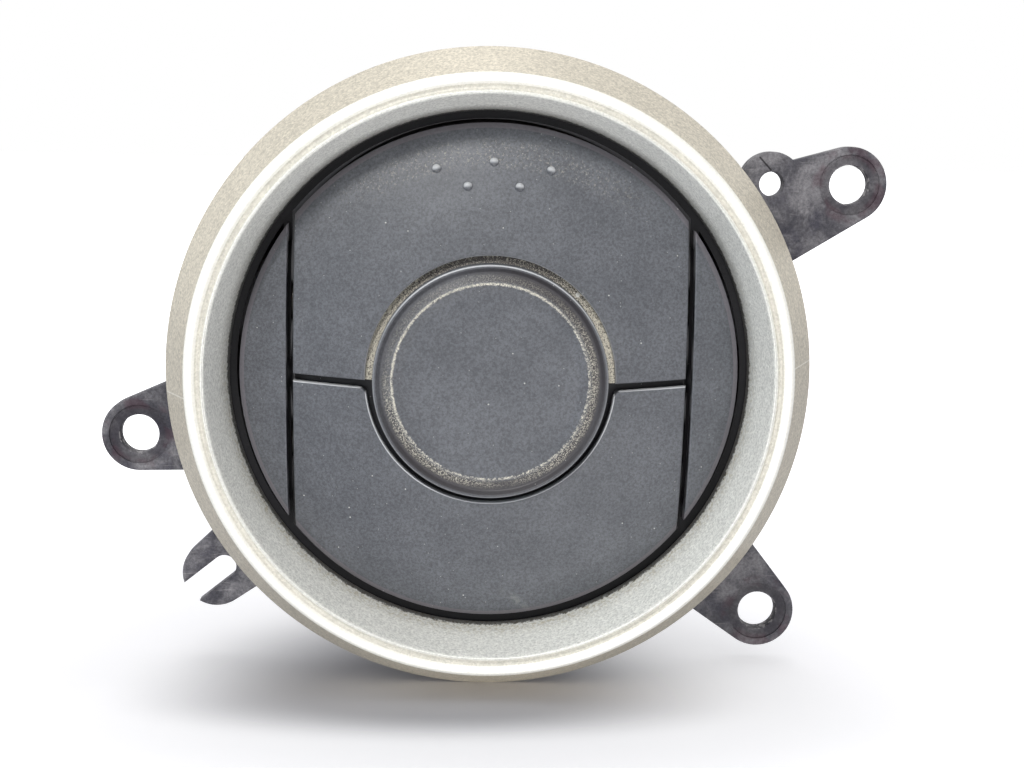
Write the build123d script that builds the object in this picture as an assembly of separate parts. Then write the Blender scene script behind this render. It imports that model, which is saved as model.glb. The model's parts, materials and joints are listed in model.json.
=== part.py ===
from build123d import *
from math import cos, hypot, radians, sin, sqrt
import os

# A round dashboard air vent: a bezel and housing that are fixed in the dashboard, a barrel that turns in
# the housing, and two linked blades in the barrel that close to a smooth domed face.
# +Z is up and the face looks along -Y. The pieces are drawn with y as the depth behind the front edge of
# the bezel's flange, and moved at the end so that the origin is on the axis, at the duct collar's shoulder.

# Domed face
FACE_R = 39.7
DOME_R = 109.0
DOME_APEX = 0.8
SHELL_WALL = 2.0
RIM_CHAMFER = 0.9
RIM_LENGTH = 2.16
RIM_WALL = 1.6
FACE_GAP = 1.1
CHEEK_WIDTH = 7.7
SPLIT_Z = -0.75
SPLIT_SLOPE = 2.4
EDGE_ROUND = 0.25
LIP_REACH = 2.2
LIP_ROOT = 2.0
LIP_WALL = 1.2
LIP_GAP = 0.5

# Bezel ring, from the throat round the face to the flange's rear edge
THROAT_GAP = 1.75
THROAT_FLARE = 2.35
THROAT_WALL = 1.7
CREST_WIDTH = 0.7
CREST_RISE = 0.6
GROOVE_WIDTH = 0.9
GROOVE_FLOOR = 0.35
BEAD_WIDTH = 1.6
BEAD_RISE = 0.55
FLANGE_FLARE = 4.5
FLANGE_DEPTH = 8.9
FLANGE_WALL = 2.0
WEB_WALL = 2.2
RIM_ROUND = 0.4

# Round boss on the upper blade, and the pips that mark where to press
BOSS_R = 18.3
BOSS_PROUD = 1.5
BOSS_ROUND = 0.4
BOSS_WALL = 1.7
BEAD_FLANK = 0.7
BEAD_FALL = 0.3
BAND_WIDTH = 1.9
BAND_RISE = 0.12
DISH_SLOPE = 1.6
DISH_FALL = 0.45
RECESS_WIDTH = 1.2
RECESS_DEPTH = 1.2
HORN_ROUND = 1.4
PIP_R = 0.75
PIP_RISE = 0.45
PIP_COUNT = 5
PIP_PITCH = 7.6
PIP_INSET = 6.1
PIP_STAGGER = 3.5

# Blade pivots and linkage
PIVOT_Z = 11.0
PIVOT_R = 1.5
EAR_R = 3.4
EAR_WALL = 1.5
EAR_INSET = 0.2
EAR_FOOT = 7.0
BUSH_WALL = 0.75
BUSH_FLANGE_WIDTH = 0.8
CRANK_LENGTH = 6.0
CRANK_START = 40.0
CRANK_WALL = 1.2
CRANK_HUB_R = 2.6
CRANK_END_R = 2.2
LINK_WALL = 1.1
LINK_HALF_WIDTH = 2.1
LINK_PIN_R = 1.1
PIN_END = 0.3

# Barrel
DRUM_GAP = 0.7
DRUM_WALL = 1.6
DRUM_LENGTH = 18.4
SIDE_WALL_GAP = 0.6
SIDE_WALL = 1.4
CHEEK_LEG_ANGLE = 7.0
CHEEK_BEAD_LENGTH = 1.5
CHEEK_LEG_LENGTH = 8.0
FELT_WALL = 1.3

# Housing and duct collar
HOUSING_WALL = 2.0
LEDGE_WIDTH = 2.7
LEDGE_WALL = 2.0
LUG_DEPTH = 21.0
LUG_WALL = 2.5
LUG_RING_WIDTH = 2.5
LUG_LENGTH = 27.0
LUG_END_R = 6.25
UPPER_LUG_REACH = 22.43
LEFT_LUG_REACH = 15.41
LOWER_LUG_REACH = 19.36
SCREW_HOLE_R = 3.25
SPOT_FACE_R = 5.0
SPOT_FACE_DEPTH = 0.3
LOCATING_REACH = 11.17
LOCATING_ANGLE = 33.6
LOCATING_HOLE_R = 2.0
LOCATING_EAR_R = 5.3
FORK_ANGLE = 218.9
FORK_REACH = 14.5
FORK_END_R = 5.7
FORK_EDGE_ANGLE = 5.0
FORK_SLOT_R = 2.0
FORK_SLOT_DEPTH = 1.8
GUSSET_WALL = 1.8
GUSSET_LENGTH = 9.0
GUSSET_HEIGHT = 7.5
SNAP_WIDTH = 12.0
SNAP_WALL = 1.5
SNAP_REACH = 3.45
SNAP_HOOK = 1.5
SNAP_HOOK_LENGTH = 3.0
SNAP_COUNT = 4
SNAP_START = 45.0
SHOULDER_DEPTH = 46.0
COLLAR_FLANGE = 2.2
COLLAR_STEP = 6.3
COLLAR_WALL = 2.0
SHOULDER_WIDTH = 5.0
SPIGOT_LENGTH = 15.0
SPIGOT_CHAMFER = 0.7
SEAL_GAP = 1.55
SEAL_LENGTH = 7.0
SEAL_HEIGHT = 4.5
COLLAR_SCREWS = 4
SCREW_START = 75.0
SCREW_REACH = 2.1
SCREW_BOSS_R = 2.9
SCREW_BOSS_LENGTH = 8.0
SCREW_R = 1.25
SCREW_HEAD_R = 2.5
SCREW_HEAD = 1.8
SCREW_LENGTH = 8.5
SCREW_DRIVE_R = 0.8

# Clearances
SEAT = 0.3
SNUG = 0.02
RUNNING = 0.05
OPEN_PIVOT = 0.2
CRANK_GAP = 0.32

# Mounting lugs: the hole's distance from the housing and its direction, the end's radius, and how far the two
# edges spread, in degrees
LUGS = {
    "upper_right": (UPPER_LUG_REACH, 27.5, LUG_END_R, 4.2, 11.7),
    "left": (LEFT_LUG_REACH, 192.5, LUG_END_R, 11.5, 11.3),
    "lower_right": (LOWER_LUG_REACH, 318.0, LUG_END_R, 7.1, 9.9),
}


def dome_depth(radius, inset=0.0):
    """Depth of the dome, or of a surface inset behind it, at a radius from the axis."""
    return DOME_APEX + DOME_R - sqrt((DOME_R - inset) ** 2 - radius**2)


# Places that follow from the sizes above
THROAT_REAR_R = FACE_R + THROAT_GAP
THROAT_FRONT_R = THROAT_REAR_R + THROAT_FLARE
GROOVE_INNER_R = THROAT_FRONT_R + CREST_WIDTH
GROOVE_OUTER_R = GROOVE_INNER_R + GROOVE_WIDTH
FLANGE_FRONT_R = GROOVE_OUTER_R + BEAD_WIDTH
FLANGE_REAR_R = FLANGE_FRONT_R + FLANGE_FLARE
DRUM_INNER_R = FACE_R + DRUM_GAP
DRUM_R = DRUM_INNER_R + DRUM_WALL
RIM_DEPTH = dome_depth(FACE_R - RIM_CHAMFER) + RIM_CHAMFER + RIM_LENGTH
DRUM_FRONT = RIM_DEPTH + RUNNING
THROAT_DEPTH = DRUM_FRONT - SEAT
DRUM_REAR = DRUM_FRONT + DRUM_LENGTH
CHEEK_LEG_DEPTH = RIM_DEPTH + CHEEK_LEG_LENGTH
HOUSING_INNER_R = DRUM_R + SEAT
HOUSING_R = HOUSING_INNER_R + HOUSING_WALL
LEDGE_INNER_R = HOUSING_INNER_R - LEDGE_WIDTH
LEDGE_DEPTH = DRUM_REAR + SEAT + FELT_WALL
HOUSING_REAR = LEDGE_DEPTH + LEDGE_WALL
SNAP_HOOK_DEPTH = THROAT_DEPTH + SNAP_REACH
SNAP_DEPTH = SNAP_HOOK_DEPTH + SNAP_HOOK_LENGTH
SEAL_START = HOUSING_REAR + COLLAR_FLANGE + SEAL_GAP
COLLAR_LAND_R = HOUSING_R - COLLAR_STEP
SPIGOT_R = COLLAR_LAND_R - SHOULDER_WIDTH
CHEEK_X = FACE_R - CHEEK_WIDTH
BLADE_HALF_WIDTH = CHEEK_X - FACE_GAP
EAR_X = BLADE_HALF_WIDTH - EAR_INSET
SIDE_WALL_X = BLADE_HALF_WIDTH + SIDE_WALL_GAP
BUSH_FLANGE = SIDE_WALL_X - EAR_X - SEAT
SIDE_WALL_OUTER_X = SIDE_WALL_X + SIDE_WALL
CRANK_X = SIDE_WALL_OUTER_X + SEAT
LINK_X = CRANK_X + CRANK_WALL + SEAT
PIVOT_DEPTH = dome_depth(hypot(CRANK_X + CRANK_WALL, PIVOT_Z), SHELL_WALL) + CRANK_GAP + CRANK_HUB_R
BUSH_R = PIVOT_R + RUNNING + BUSH_WALL
CUTOUT_R = BOSS_R + FACE_GAP
RECESS_R = BOSS_R + RECESS_WIDTH
FAR = 200.0


def polar(radius, angle):
    return (radius * cos(radians(angle)), radius * sin(radians(angle)))


def ring(*points):
    """A body of revolution about the vent's axis, from a closed outline of (radius, depth) points."""
    return revolve(make_face(Polyline(*points, close=True)), Axis.Y)


def tube(inner, outer, start, end):
    return ring((inner, start), (outer, start), (outer, end), (inner, end))


def face_on(depth):
    """A plane across the axis at this depth, with x to the right and y up as seen from the front."""
    return Plane(origin=(0, depth, 0), x_dir=(1, 0, 0), z_dir=(0, -1, 0))


def plate(outline, depth, thickness):
    return extrude(face_on(depth) * outline, amount=-thickness)


def rod(radius, x_start, x_end, z, depth=PIVOT_DEPTH):
    """A round pin along x."""
    start = Plane(origin=(x_start, depth, z), x_dir=(0, 1, 0), z_dir=(1, 0, 0))
    return extrude(start * Circle(radius), amount=x_end - x_start)


def side_rod(radius, side, near, far, z):
    """A round pin along x on the left (-1) or right (1) side, between two distances from the middle."""
    return rod(radius, *sorted((side * near, side * far)), z)


def side_plate(outline, x_start, x_end):
    """A plate across x from an outline in (depth, z)."""
    start = Plane(origin=(x_start, 0, 0), x_dir=(0, 1, 0), z_dir=(1, 0, 0))
    return extrude(start * outline, amount=x_end - x_start)


def ball(inset=0.0):
    """The ball whose front is the dome, or the dome inset by a wall."""
    return Pos(0, DOME_APEX + DOME_R, 0) * Sphere(DOME_R - inset)


def bezel_ring():
    """The trim ring: conical flange, front bead, groove and fine crest, tapered throat and four snap arms."""
    flange_slope = FLANGE_FLARE / FLANGE_DEPTH
    cone_shift = FLANGE_WALL * hypot(1, flange_slope)
    throat_slope = THROAT_FLARE / THROAT_DEPTH
    flange_front = (FLANGE_FRONT_R, 0)
    groove_outer = (GROOVE_OUTER_R, 0)
    groove_inner = (GROOVE_INNER_R, 0)
    throat_front = (THROAT_FRONT_R, 0)
    bead = ThreePointArc(flange_front, ((FLANGE_FRONT_R + GROOVE_OUTER_R) / 2, -BEAD_RISE), groove_outer)
    groove = ThreePointArc(groove_outer, ((GROOVE_OUTER_R + GROOVE_INNER_R) / 2, GROOVE_FLOOR), groove_inner)
    crest = ThreePointArc(groove_inner, ((GROOVE_INNER_R + THROAT_FRONT_R) / 2, -CREST_RISE), throat_front)
    behind = Polyline(
        throat_front,
        (THROAT_REAR_R, THROAT_DEPTH),
        (THROAT_REAR_R + THROAT_WALL, THROAT_DEPTH),
        (THROAT_FRONT_R - throat_slope * WEB_WALL + THROAT_WALL, WEB_WALL),
        (FLANGE_FRONT_R + flange_slope * WEB_WALL - cone_shift, WEB_WALL),
        (FLANGE_REAR_R - cone_shift, FLANGE_DEPTH),
        (FLANGE_REAR_R, FLANGE_DEPTH),
        flange_front,
    )
    body = revolve(make_face(bead + groove + crest + behind), Axis.Y)
    rim = body.edges().filter_by(GeomType.CIRCLE).sort_by(lambda e: e.radius)[-1]
    body = fillet(rim, RIM_ROUND)
    arm_inner = HOUSING_R + SEAT
    arm = tube(arm_inner, arm_inner + SNAP_WALL, WEB_WALL - SEAT, SNAP_DEPTH)
    hook = ring(
        (arm_inner - SNAP_HOOK, SNAP_HOOK_DEPTH),
        (arm_inner + SEAT, SNAP_HOOK_DEPTH),
        (arm_inner + SEAT, SNAP_DEPTH),
        (arm_inner, SNAP_DEPTH),
    )
    for i in range(SNAP_COUNT):
        sector = snap_sector(i, SNAP_WIDTH / 2)
        body += (arm + hook) & sector
    return body


def snap_sector(index, half_width):
    """A bar that runs out from the axis, to keep one snap arm's width of a ring or to cut its window."""
    angle = SNAP_START + 360 * index / SNAP_COUNT
    bar = Pos(FAR / 2, 0, 0) * Box(FAR, FAR, 2 * half_width)
    return Rot(0, -angle, 0) * bar


def lug_hole(reach, angle, *_):
    """Centre of the hole that is this far out from the housing's wall."""
    return polar(HOUSING_R + reach, angle)


def lug_arm(reach, angle, end_radius, spread_a, spread_b):
    """A flat arm: a round end, and two straight edges that run from it towards the housing."""
    x, z = lug_hole(reach, angle)
    edge_a, edge_b = angle + 180 + spread_a, angle + 180 - spread_b
    points = []
    for edge, side, order in ((edge_a, 90, (0, LUG_LENGTH)), (edge_b, -90, (LUG_LENGTH, 0))):
        out_x, out_z = polar(end_radius, edge + side)
        for run in order:
            run_x, run_z = polar(run, edge)
            points.append((x + out_x + run_x, z + out_z + run_z))
    arm = make_face(Polyline(*points, close=True))
    return arm + Pos(x, z) * Circle(end_radius)


def fork():
    """The open locating slot, a fork that points away from the axis."""
    arm = lug_arm(FORK_REACH, FORK_ANGLE, FORK_END_R, FORK_EDGE_ANGLE, FORK_EDGE_ANGLE)
    slot_start = HOUSING_R + FORK_REACH - FORK_SLOT_DEPTH
    slot_x, slot_z = polar(slot_start, FORK_ANGLE)
    open_x, open_z = polar(slot_start + FORK_END_R, FORK_ANGLE)
    slot = Pos(slot_x, slot_z) * Circle(FORK_SLOT_R)
    slot += Pos(open_x, open_z) * Rot(0, 0, FORK_ANGLE) * Rectangle(2 * FORK_END_R, 2 * FORK_SLOT_R)
    return arm - slot


def gusset(angle):
    """A triangular rib behind a lug, standing on the housing's wall."""
    root = HOUSING_R - HOUSING_WALL / 2
    rear = LUG_DEPTH + LUG_WALL / 2
    toe = (HOUSING_R + GUSSET_LENGTH, rear)
    outline = make_face(Polyline((root, rear), toe, (root, rear + GUSSET_HEIGHT), close=True))
    rib = extrude(outline, amount=GUSSET_WALL / 2, both=True)
    return Rot(0, -angle, 0) * rib


def screw_places():
    ring_r = HOUSING_R + SCREW_REACH
    return [polar(ring_r, SCREW_START + 360 * i / COLLAR_SCREWS) for i in range(COLLAR_SCREWS)]


def housing():
    """The fixed tube round the barrel, with its inner ledge, lug plate, lugs, ribs and screw bosses."""
    body = tube(HOUSING_INNER_R, HOUSING_R, THROAT_DEPTH, HOUSING_REAR)
    body += tube(LEDGE_INNER_R, HOUSING_R, LEDGE_DEPTH, HOUSING_REAR)
    lugs = Circle(HOUSING_R + LUG_RING_WIDTH) + fork()
    for lug in LUGS.values():
        lugs += lug_arm(*lug)
    locating = Pos(*lug_hole(LOCATING_REACH, LOCATING_ANGLE))
    lugs += locating * Circle(LOCATING_EAR_R)
    lugs -= Circle(HOUSING_R - HOUSING_WALL / 2)
    lugs -= locating * Circle(LOCATING_HOLE_R)
    for lug in LUGS.values():
        lugs -= Pos(*lug_hole(*lug)) * Circle(SCREW_HOLE_R)
    body += plate(lugs, LUG_DEPTH, LUG_WALL)
    for lug in LUGS.values():
        spot_face = Pos(*lug_hole(*lug)) * Circle(SPOT_FACE_R)
        body += gusset(lug[1])
        body -= plate(spot_face, LUG_DEPTH - SEAT, SEAT + SPOT_FACE_DEPTH)
    body += gusset(FORK_ANGLE)
    for x, z in screw_places():
        body += plate(Pos(x, z) * Circle(SCREW_BOSS_R), HOUSING_REAR - SCREW_BOSS_LENGTH, SCREW_BOSS_LENGTH)
    for x, z in screw_places():
        hole = Pos(x, z) * Circle(SCREW_R + SNUG)
        body -= plate(hole, HOUSING_REAR - SCREW_BOSS_LENGTH, SCREW_BOSS_LENGTH)
    body -= tube(0, HOUSING_INNER_R, THROAT_DEPTH, LEDGE_DEPTH)
    for i in range(SNAP_COUNT):
        window = tube(HOUSING_INNER_R - SEAT, HOUSING_R + SEAT, SNAP_HOOK_DEPTH - SEAT, SNAP_DEPTH + SEAT)
        body -= window & snap_sector(i, SNAP_WIDTH / 2 + SEAT)
    return body


def duct_collar():
    """The rear shell: a flange on the housing, a land for the seal, and the spigot that takes the duct."""
    land_inner = COLLAR_LAND_R - COLLAR_WALL
    spigot_inner = SPIGOT_R - COLLAR_WALL
    flange_rear = HOUSING_REAR + COLLAR_FLANGE
    end = SHOULDER_DEPTH + SPIGOT_LENGTH
    body = ring(
        (land_inner, HOUSING_REAR),
        (HOUSING_R, HOUSING_REAR),
        (HOUSING_R, flange_rear),
        (COLLAR_LAND_R, flange_rear),
        (COLLAR_LAND_R, SHOULDER_DEPTH),
        (SPIGOT_R, SHOULDER_DEPTH),
        (SPIGOT_R, end - SPIGOT_CHAMFER),
        (SPIGOT_R - SPIGOT_CHAMFER, end),
        (spigot_inner, end),
        (spigot_inner, SHOULDER_DEPTH - COLLAR_WALL),
        (land_inner, SHOULDER_DEPTH - 2 * COLLAR_WALL),
    )
    for x, z in screw_places():
        body += plate(Pos(x, z) * Circle(SCREW_BOSS_R), HOUSING_REAR, COLLAR_FLANGE)
    body -= tube(0, land_inner, HOUSING_REAR, flange_rear)
    for x, z in screw_places():
        body -= plate(Pos(x, z) * Circle(SCREW_R + OPEN_PIVOT), HOUSING_REAR, COLLAR_FLANGE)
    return body


def duct_seal():
    """The foam band round the collar's land."""
    inner = COLLAR_LAND_R + SEAT
    return tube(inner, inner + SEAL_HEIGHT, SEAL_START, SEAL_START + SEAL_LENGTH)


def collar_screws():
    """The self-tapping screws that hold the collar, each with a pan head and a drive recess."""
    head_depth = HOUSING_REAR + COLLAR_FLANGE
    screws = []
    for x, z in screw_places():
        place = Pos(x, z)
        shank = plate(place * Circle(SCREW_R), head_depth - SCREW_LENGTH, SCREW_LENGTH)
        head = plate(place * Circle(SCREW_HEAD_R), head_depth, SCREW_HEAD)
        drive = plate(place * RegularPolygon(SCREW_DRIVE_R, 6), head_depth + SCREW_HEAD / 2, SCREW_HEAD)
        screws.append(shank + head - drive)
    return Compound(children=screws)


def friction_ring():
    """The felt ring on the housing's ledge, which steadies the barrel."""
    return tube(LEDGE_INNER_R + SEAT, HOUSING_INNER_R - SEAT, LEDGE_DEPTH - FELT_WALL, LEDGE_DEPTH)


def dome_arc(radius, inset=0.0):
    """The dome's section, or that of a surface inset behind it, from the axis out to a radius."""
    return ThreePointArc(*((r, dome_depth(r, inset)) for r in (0, radius / 2, radius)))


def face_blank():
    """The whole domed face as one shell, before it is divided into blades and cheeks."""
    dome_edge = FACE_R - RIM_CHAMFER
    rim_inner = FACE_R - RIM_WALL
    rim = Polyline(
        (dome_edge, dome_depth(dome_edge)),
        (FACE_R, dome_depth(dome_edge) + RIM_CHAMFER),
        (FACE_R, RIM_DEPTH),
        (rim_inner, RIM_DEPTH),
        (rim_inner, dome_depth(rim_inner, SHELL_WALL)),
    )
    axis = Line((0, dome_depth(0, SHELL_WALL)), (0, dome_depth(0)))
    outline = dome_arc(dome_edge) + rim + dome_arc(rim_inner, SHELL_WALL) + axis
    return revolve(make_face(outline), Axis.Y)


def split_outline(offset):
    """The half of the blades' area above the split line, which rises a little towards both cheeks."""
    rise = (BLADE_HALF_WIDTH - BOSS_R) * sin(radians(SPLIT_SLOPE))
    middle = SPLIT_Z + offset
    return Polyline(
        (-BLADE_HALF_WIDTH, FACE_R),
        (-BLADE_HALF_WIDTH, middle + rise),
        (-BOSS_R, middle),
        (BOSS_R, middle),
        (BLADE_HALF_WIDTH, middle + rise),
        (BLADE_HALF_WIDTH, FACE_R),
        close=True,
    )


def blade_ears(z):
    """The two ears behind a blade, each with its pivot pin. Only the left pins reach on to the cranks."""
    foot = dome_depth(BLADE_HALF_WIDTH, SHELL_WALL / 2) - SHELL_WALL
    outline = make_face(
        Polyline(
            (foot, z - EAR_FOOT),
            (foot, z + EAR_FOOT),
            (PIVOT_DEPTH, z + EAR_R),
            (PIVOT_DEPTH, z - EAR_R),
            close=True,
        )
    )
    outline += Pos(PIVOT_DEPTH, z) * Circle(EAR_R)
    ears = side_plate(outline, EAR_X - EAR_WALL, EAR_X) + side_plate(outline, -EAR_X, EAR_WALL - EAR_X)
    ears &= ball(SHELL_WALL / 2)
    right_pin = rod(PIVOT_R, EAR_X - EAR_WALL, SIDE_WALL_OUTER_X + PIN_END, z)
    left_pin = rod(PIVOT_R, -(CRANK_X + CRANK_WALL), EAR_WALL - EAR_X, z)
    return ears + right_pin + left_pin


def boss():
    """The round boss: a skirt, a bead at its rim, a band that rises inwards, and a dished disc."""
    crest = dome_depth(BOSS_R) - BOSS_PROUD
    skirt_end = dome_depth(BOSS_R) + SHELL_WALL
    bead_top = BOSS_R - BOSS_ROUND
    band_start = bead_top - BEAD_FLANK
    disc_r = band_start - BAND_WIDTH
    disc_depth = crest + BEAD_FALL - BAND_RISE
    dish_depth = disc_depth + DISH_FALL
    outer = Line((BOSS_R, skirt_end), (BOSS_R, crest + BOSS_ROUND))
    roll = RadiusArc((BOSS_R, crest + BOSS_ROUND), (bead_top, crest), BOSS_ROUND)
    inside = Polyline(
        (bead_top, crest),
        (band_start, crest + BEAD_FALL),
        (disc_r, disc_depth),
        (disc_r - DISH_SLOPE, dish_depth),
        (0, dish_depth),
        (0, dish_depth + BOSS_WALL),
        (BOSS_R - BOSS_WALL, dish_depth + BOSS_WALL),
        (BOSS_R - BOSS_WALL, skirt_end),
        (BOSS_R, skirt_end),
    )
    return revolve(make_face(outer + roll + inside), Axis.Y)


def pips():
    """Five small domes on two arcs at the top of the upper blade."""
    cap = (PIP_R**2 + PIP_RISE**2) / (2 * PIP_RISE)
    domes = []
    for i in range(PIP_COUNT):
        radius = FACE_R - PIP_INSET - PIP_STAGGER * (i % 2)
        x, z = polar(radius, 90 + PIP_PITCH * (i - (PIP_COUNT - 1) / 2))
        domes.append(Pos(x, dome_depth(radius) + cap - PIP_RISE, z) * Sphere(cap))
    return domes


def on_dome(edge):
    """Does this edge lie on the dome's outer surface, inside its chamfered rim?"""
    centre = Vector(0, DOME_APEX + DOME_R, 0)
    start, middle, end = (edge @ place for place in (0, 0.5, 1))
    on_ball = all(abs((point - centre).length - DOME_R) < SNUG for point in (start, middle, end))
    return on_ball and hypot(middle.X, middle.Z) < FACE_R - RIM_CHAMFER - SNUG


def soften(piece):
    """Round a blade's or a cheek's edges along its gaps."""
    return fillet(piece.edges().filter_by(on_dome), EDGE_ROUND)


def upper_blade():
    """The upper blade with its recess, boss, pips and ears: one moulding."""
    blade = face_blank() & plate(make_face(split_outline(FACE_GAP / 2)), -FAR / 2, FAR)
    recess = (ball() - ball(RECESS_DEPTH)) & tube(0, RECESS_R, -FAR / 2, FAR / 2)
    blade = soften(blade - recess)
    blade -= tube(0, BOSS_R - BOSS_WALL, -FAR / 2, FAR / 2)
    return blade + boss() + blade_ears(PIVOT_Z) + pips()


def below_split(drop, cut_r):
    """The blades' area that is a drop or more below the split line, less a circle round the boss."""
    area = Rectangle(2 * BLADE_HALF_WIDTH, 2 * FACE_R) - make_face(split_outline(-drop))
    return area - Circle(cut_r)


def seal_lip(area):
    """The lip along the lower blade's top edge, which lies behind the upper blade when the vent is closed."""
    drop = FACE_GAP / 2
    inner = below_split(drop + LIP_ROOT, CUTOUT_R + LIP_ROOT)
    lip_area = below_split(drop - LIP_REACH, CUTOUT_R - LIP_REACH) - inner
    lip_back = ball(SHELL_WALL + LIP_GAP + LIP_WALL)
    lip = (ball(SHELL_WALL + LIP_GAP) - lip_back) & plate(lip_area, -FAR / 2, FAR)
    root = (ball(SHELL_WALL / 2) - lip_back) & plate(area - inner, -FAR / 2, FAR)
    return lip + root


def lower_blade():
    """The lower blade, cut away round the boss, with its seal lip and ears."""
    area = below_split(FACE_GAP / 2, CUTOUT_R)
    horns = area.vertices().filter_by(lambda v: abs(hypot(v.X, v.Y) - CUTOUT_R) < SNUG)
    area = fillet(horns, HORN_ROUND)
    blade = soften(face_blank() & plate(area, -FAR / 2, FAR))
    return blade + seal_lip(area) + blade_ears(-PIVOT_Z)


def cheek(side):
    """A fixed end segment of the face, with a beaded leg that snaps inside the barrel."""
    area = Pos(side * (CHEEK_X + FACE_R / 2), 0) * Rectangle(FACE_R, 2 * FACE_R)
    segment = soften(face_blank() & plate(area, -FAR / 2, FAR))
    inner = FACE_R - RIM_WALL
    leg = ring(
        (inner, RIM_DEPTH - SEAT),
        (FACE_R, RIM_DEPTH - SEAT),
        (FACE_R, CHEEK_LEG_DEPTH - CHEEK_BEAD_LENGTH),
        (DRUM_INNER_R - SEAT, CHEEK_LEG_DEPTH - CHEEK_BEAD_LENGTH / 2),
        (FACE_R, CHEEK_LEG_DEPTH),
        (inner, CHEEK_LEG_DEPTH),
    )
    width = 2 * FACE_R * sin(radians(CHEEK_LEG_ANGLE))
    sector = Pos(side * FAR / 2, 0, 0) * Box(FAR, FAR, width)
    return segment + (leg & sector)


def barrel():
    """The drum that turns in the housing, with the two side walls that carry the blades' pivots."""
    body = tube(DRUM_INNER_R, DRUM_R, DRUM_FRONT, DRUM_REAR)
    behind_face = ball(SHELL_WALL + SEAT)
    front = tube(0, FACE_R - RIM_WALL - SEAT, 0, PIVOT_DEPTH) & behind_face
    rear = tube(0, DRUM_INNER_R + DRUM_WALL / 2, DRUM_FRONT, DRUM_REAR) & behind_face
    for side in (-1, 1):
        slab = Pos(side * (SIDE_WALL_X + SIDE_WALL / 2), 0, 0) * Box(SIDE_WALL, FAR, FAR)
        wall = (front & slab) + (rear & slab)
        for z in (-PIVOT_Z, PIVOT_Z):
            wall -= side_rod(BUSH_R + SNUG, side, SIDE_WALL_X - SEAT, SIDE_WALL_OUTER_X + SEAT, z)
        body += wall
    return body


def bush(side, z):
    """A flanged bush in the barrel's side wall, with its flange towards the blade."""
    body = side_rod(BUSH_R, side, SIDE_WALL_X, SIDE_WALL_OUTER_X, z)
    body += side_rod(BUSH_R + BUSH_FLANGE_WIDTH, side, SIDE_WALL_X - BUSH_FLANGE, SIDE_WALL_X, z)
    return body - side_rod(PIVOT_R + RUNNING, side, EAR_X, SIDE_WALL_OUTER_X + SEAT, z)


def crank_pin_place(z):
    """Depth and z of the pin at the end of the crank whose blade pivots at z."""
    reach, rise = polar(CRANK_LENGTH, CRANK_START)
    return PIVOT_DEPTH + reach, z + rise


def rounded_bar(start, start_r, end, end_r):
    """A flat bar with two round ends, outlined in (depth, z)."""
    outline = (Pos(*start) * Circle(start_r)).edges() + (Pos(*end) * Circle(end_r)).edges()
    return make_hull(outline)


def crank(z):
    """The arm pressed on the blade's left pivot pin, with the link's pin at its end."""
    depth, pin_z = crank_pin_place(z)
    arm = rounded_bar((PIVOT_DEPTH, z), CRANK_HUB_R, (depth, pin_z), CRANK_END_R)
    body = side_plate(arm, -(CRANK_X + CRANK_WALL), -CRANK_X)
    body -= rod(PIVOT_R + SNUG, -(CRANK_X + 2 * CRANK_WALL), -(CRANK_X - CRANK_WALL), z)
    return body + rod(LINK_PIN_R, -(LINK_X + LINK_WALL + PIN_END), -CRANK_X - CRANK_WALL, pin_z, depth)


def link_rod():
    """The bar between the two cranks. Its lower hole is the open pivot of the linkage."""
    upper, lower = crank_pin_place(PIVOT_Z), crank_pin_place(-PIVOT_Z)
    bar = rounded_bar(upper, LINK_HALF_WIDTH, lower, LINK_HALF_WIDTH)
    body = side_plate(bar, -(LINK_X + LINK_WALL), -LINK_X)
    for (depth, z), clearance in ((upper, RUNNING), (lower, OPEN_PIVOT)):
        body -= rod(LINK_PIN_R + clearance, -(LINK_X + 2 * LINK_WALL), -(LINK_X - LINK_WALL), z, depth)
    return body


parts = {
    "bezel_ring": bezel_ring(),
    "housing": housing(),
    "duct_collar": duct_collar(),
    "duct_seal": duct_seal(),
    "collar_screws": collar_screws(),
    "friction_ring": friction_ring(),
    "barrel": barrel(),
    "left_cheek": cheek(-1),
    "right_cheek": cheek(1),
    "upper_left_bush": bush(-1, PIVOT_Z),
    "upper_right_bush": bush(1, PIVOT_Z),
    "lower_left_bush": bush(-1, -PIVOT_Z),
    "lower_right_bush": bush(1, -PIVOT_Z),
    "upper_blade": upper_blade(),
    "upper_crank": crank(PIVOT_Z),
    "lower_blade": lower_blade(),
    "lower_crank": crank(-PIVOT_Z),
    "link_rod": link_rod(),
}

os.makedirs("parts", exist_ok=True)
for name, shape in parts.items():
    export_step(Pos(0, -SHOULDER_DEPTH, 0) * shape, f"parts/{name}.step")
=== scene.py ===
# %% [markdown]
# # A round dashboard air vent
# The packed CAD model is the frame: it says where every piece is and which body it moves with. This lesson
# dresses it with smooth meshes and procedural materials, and lights it as in a plain product photograph.

# %% Load the frame
import json
import math

import bmesh
import bpy
import numpy as np
from mathutils import Matrix, Vector
from mathutils.geometry import delaunay_2d_cdt


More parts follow.
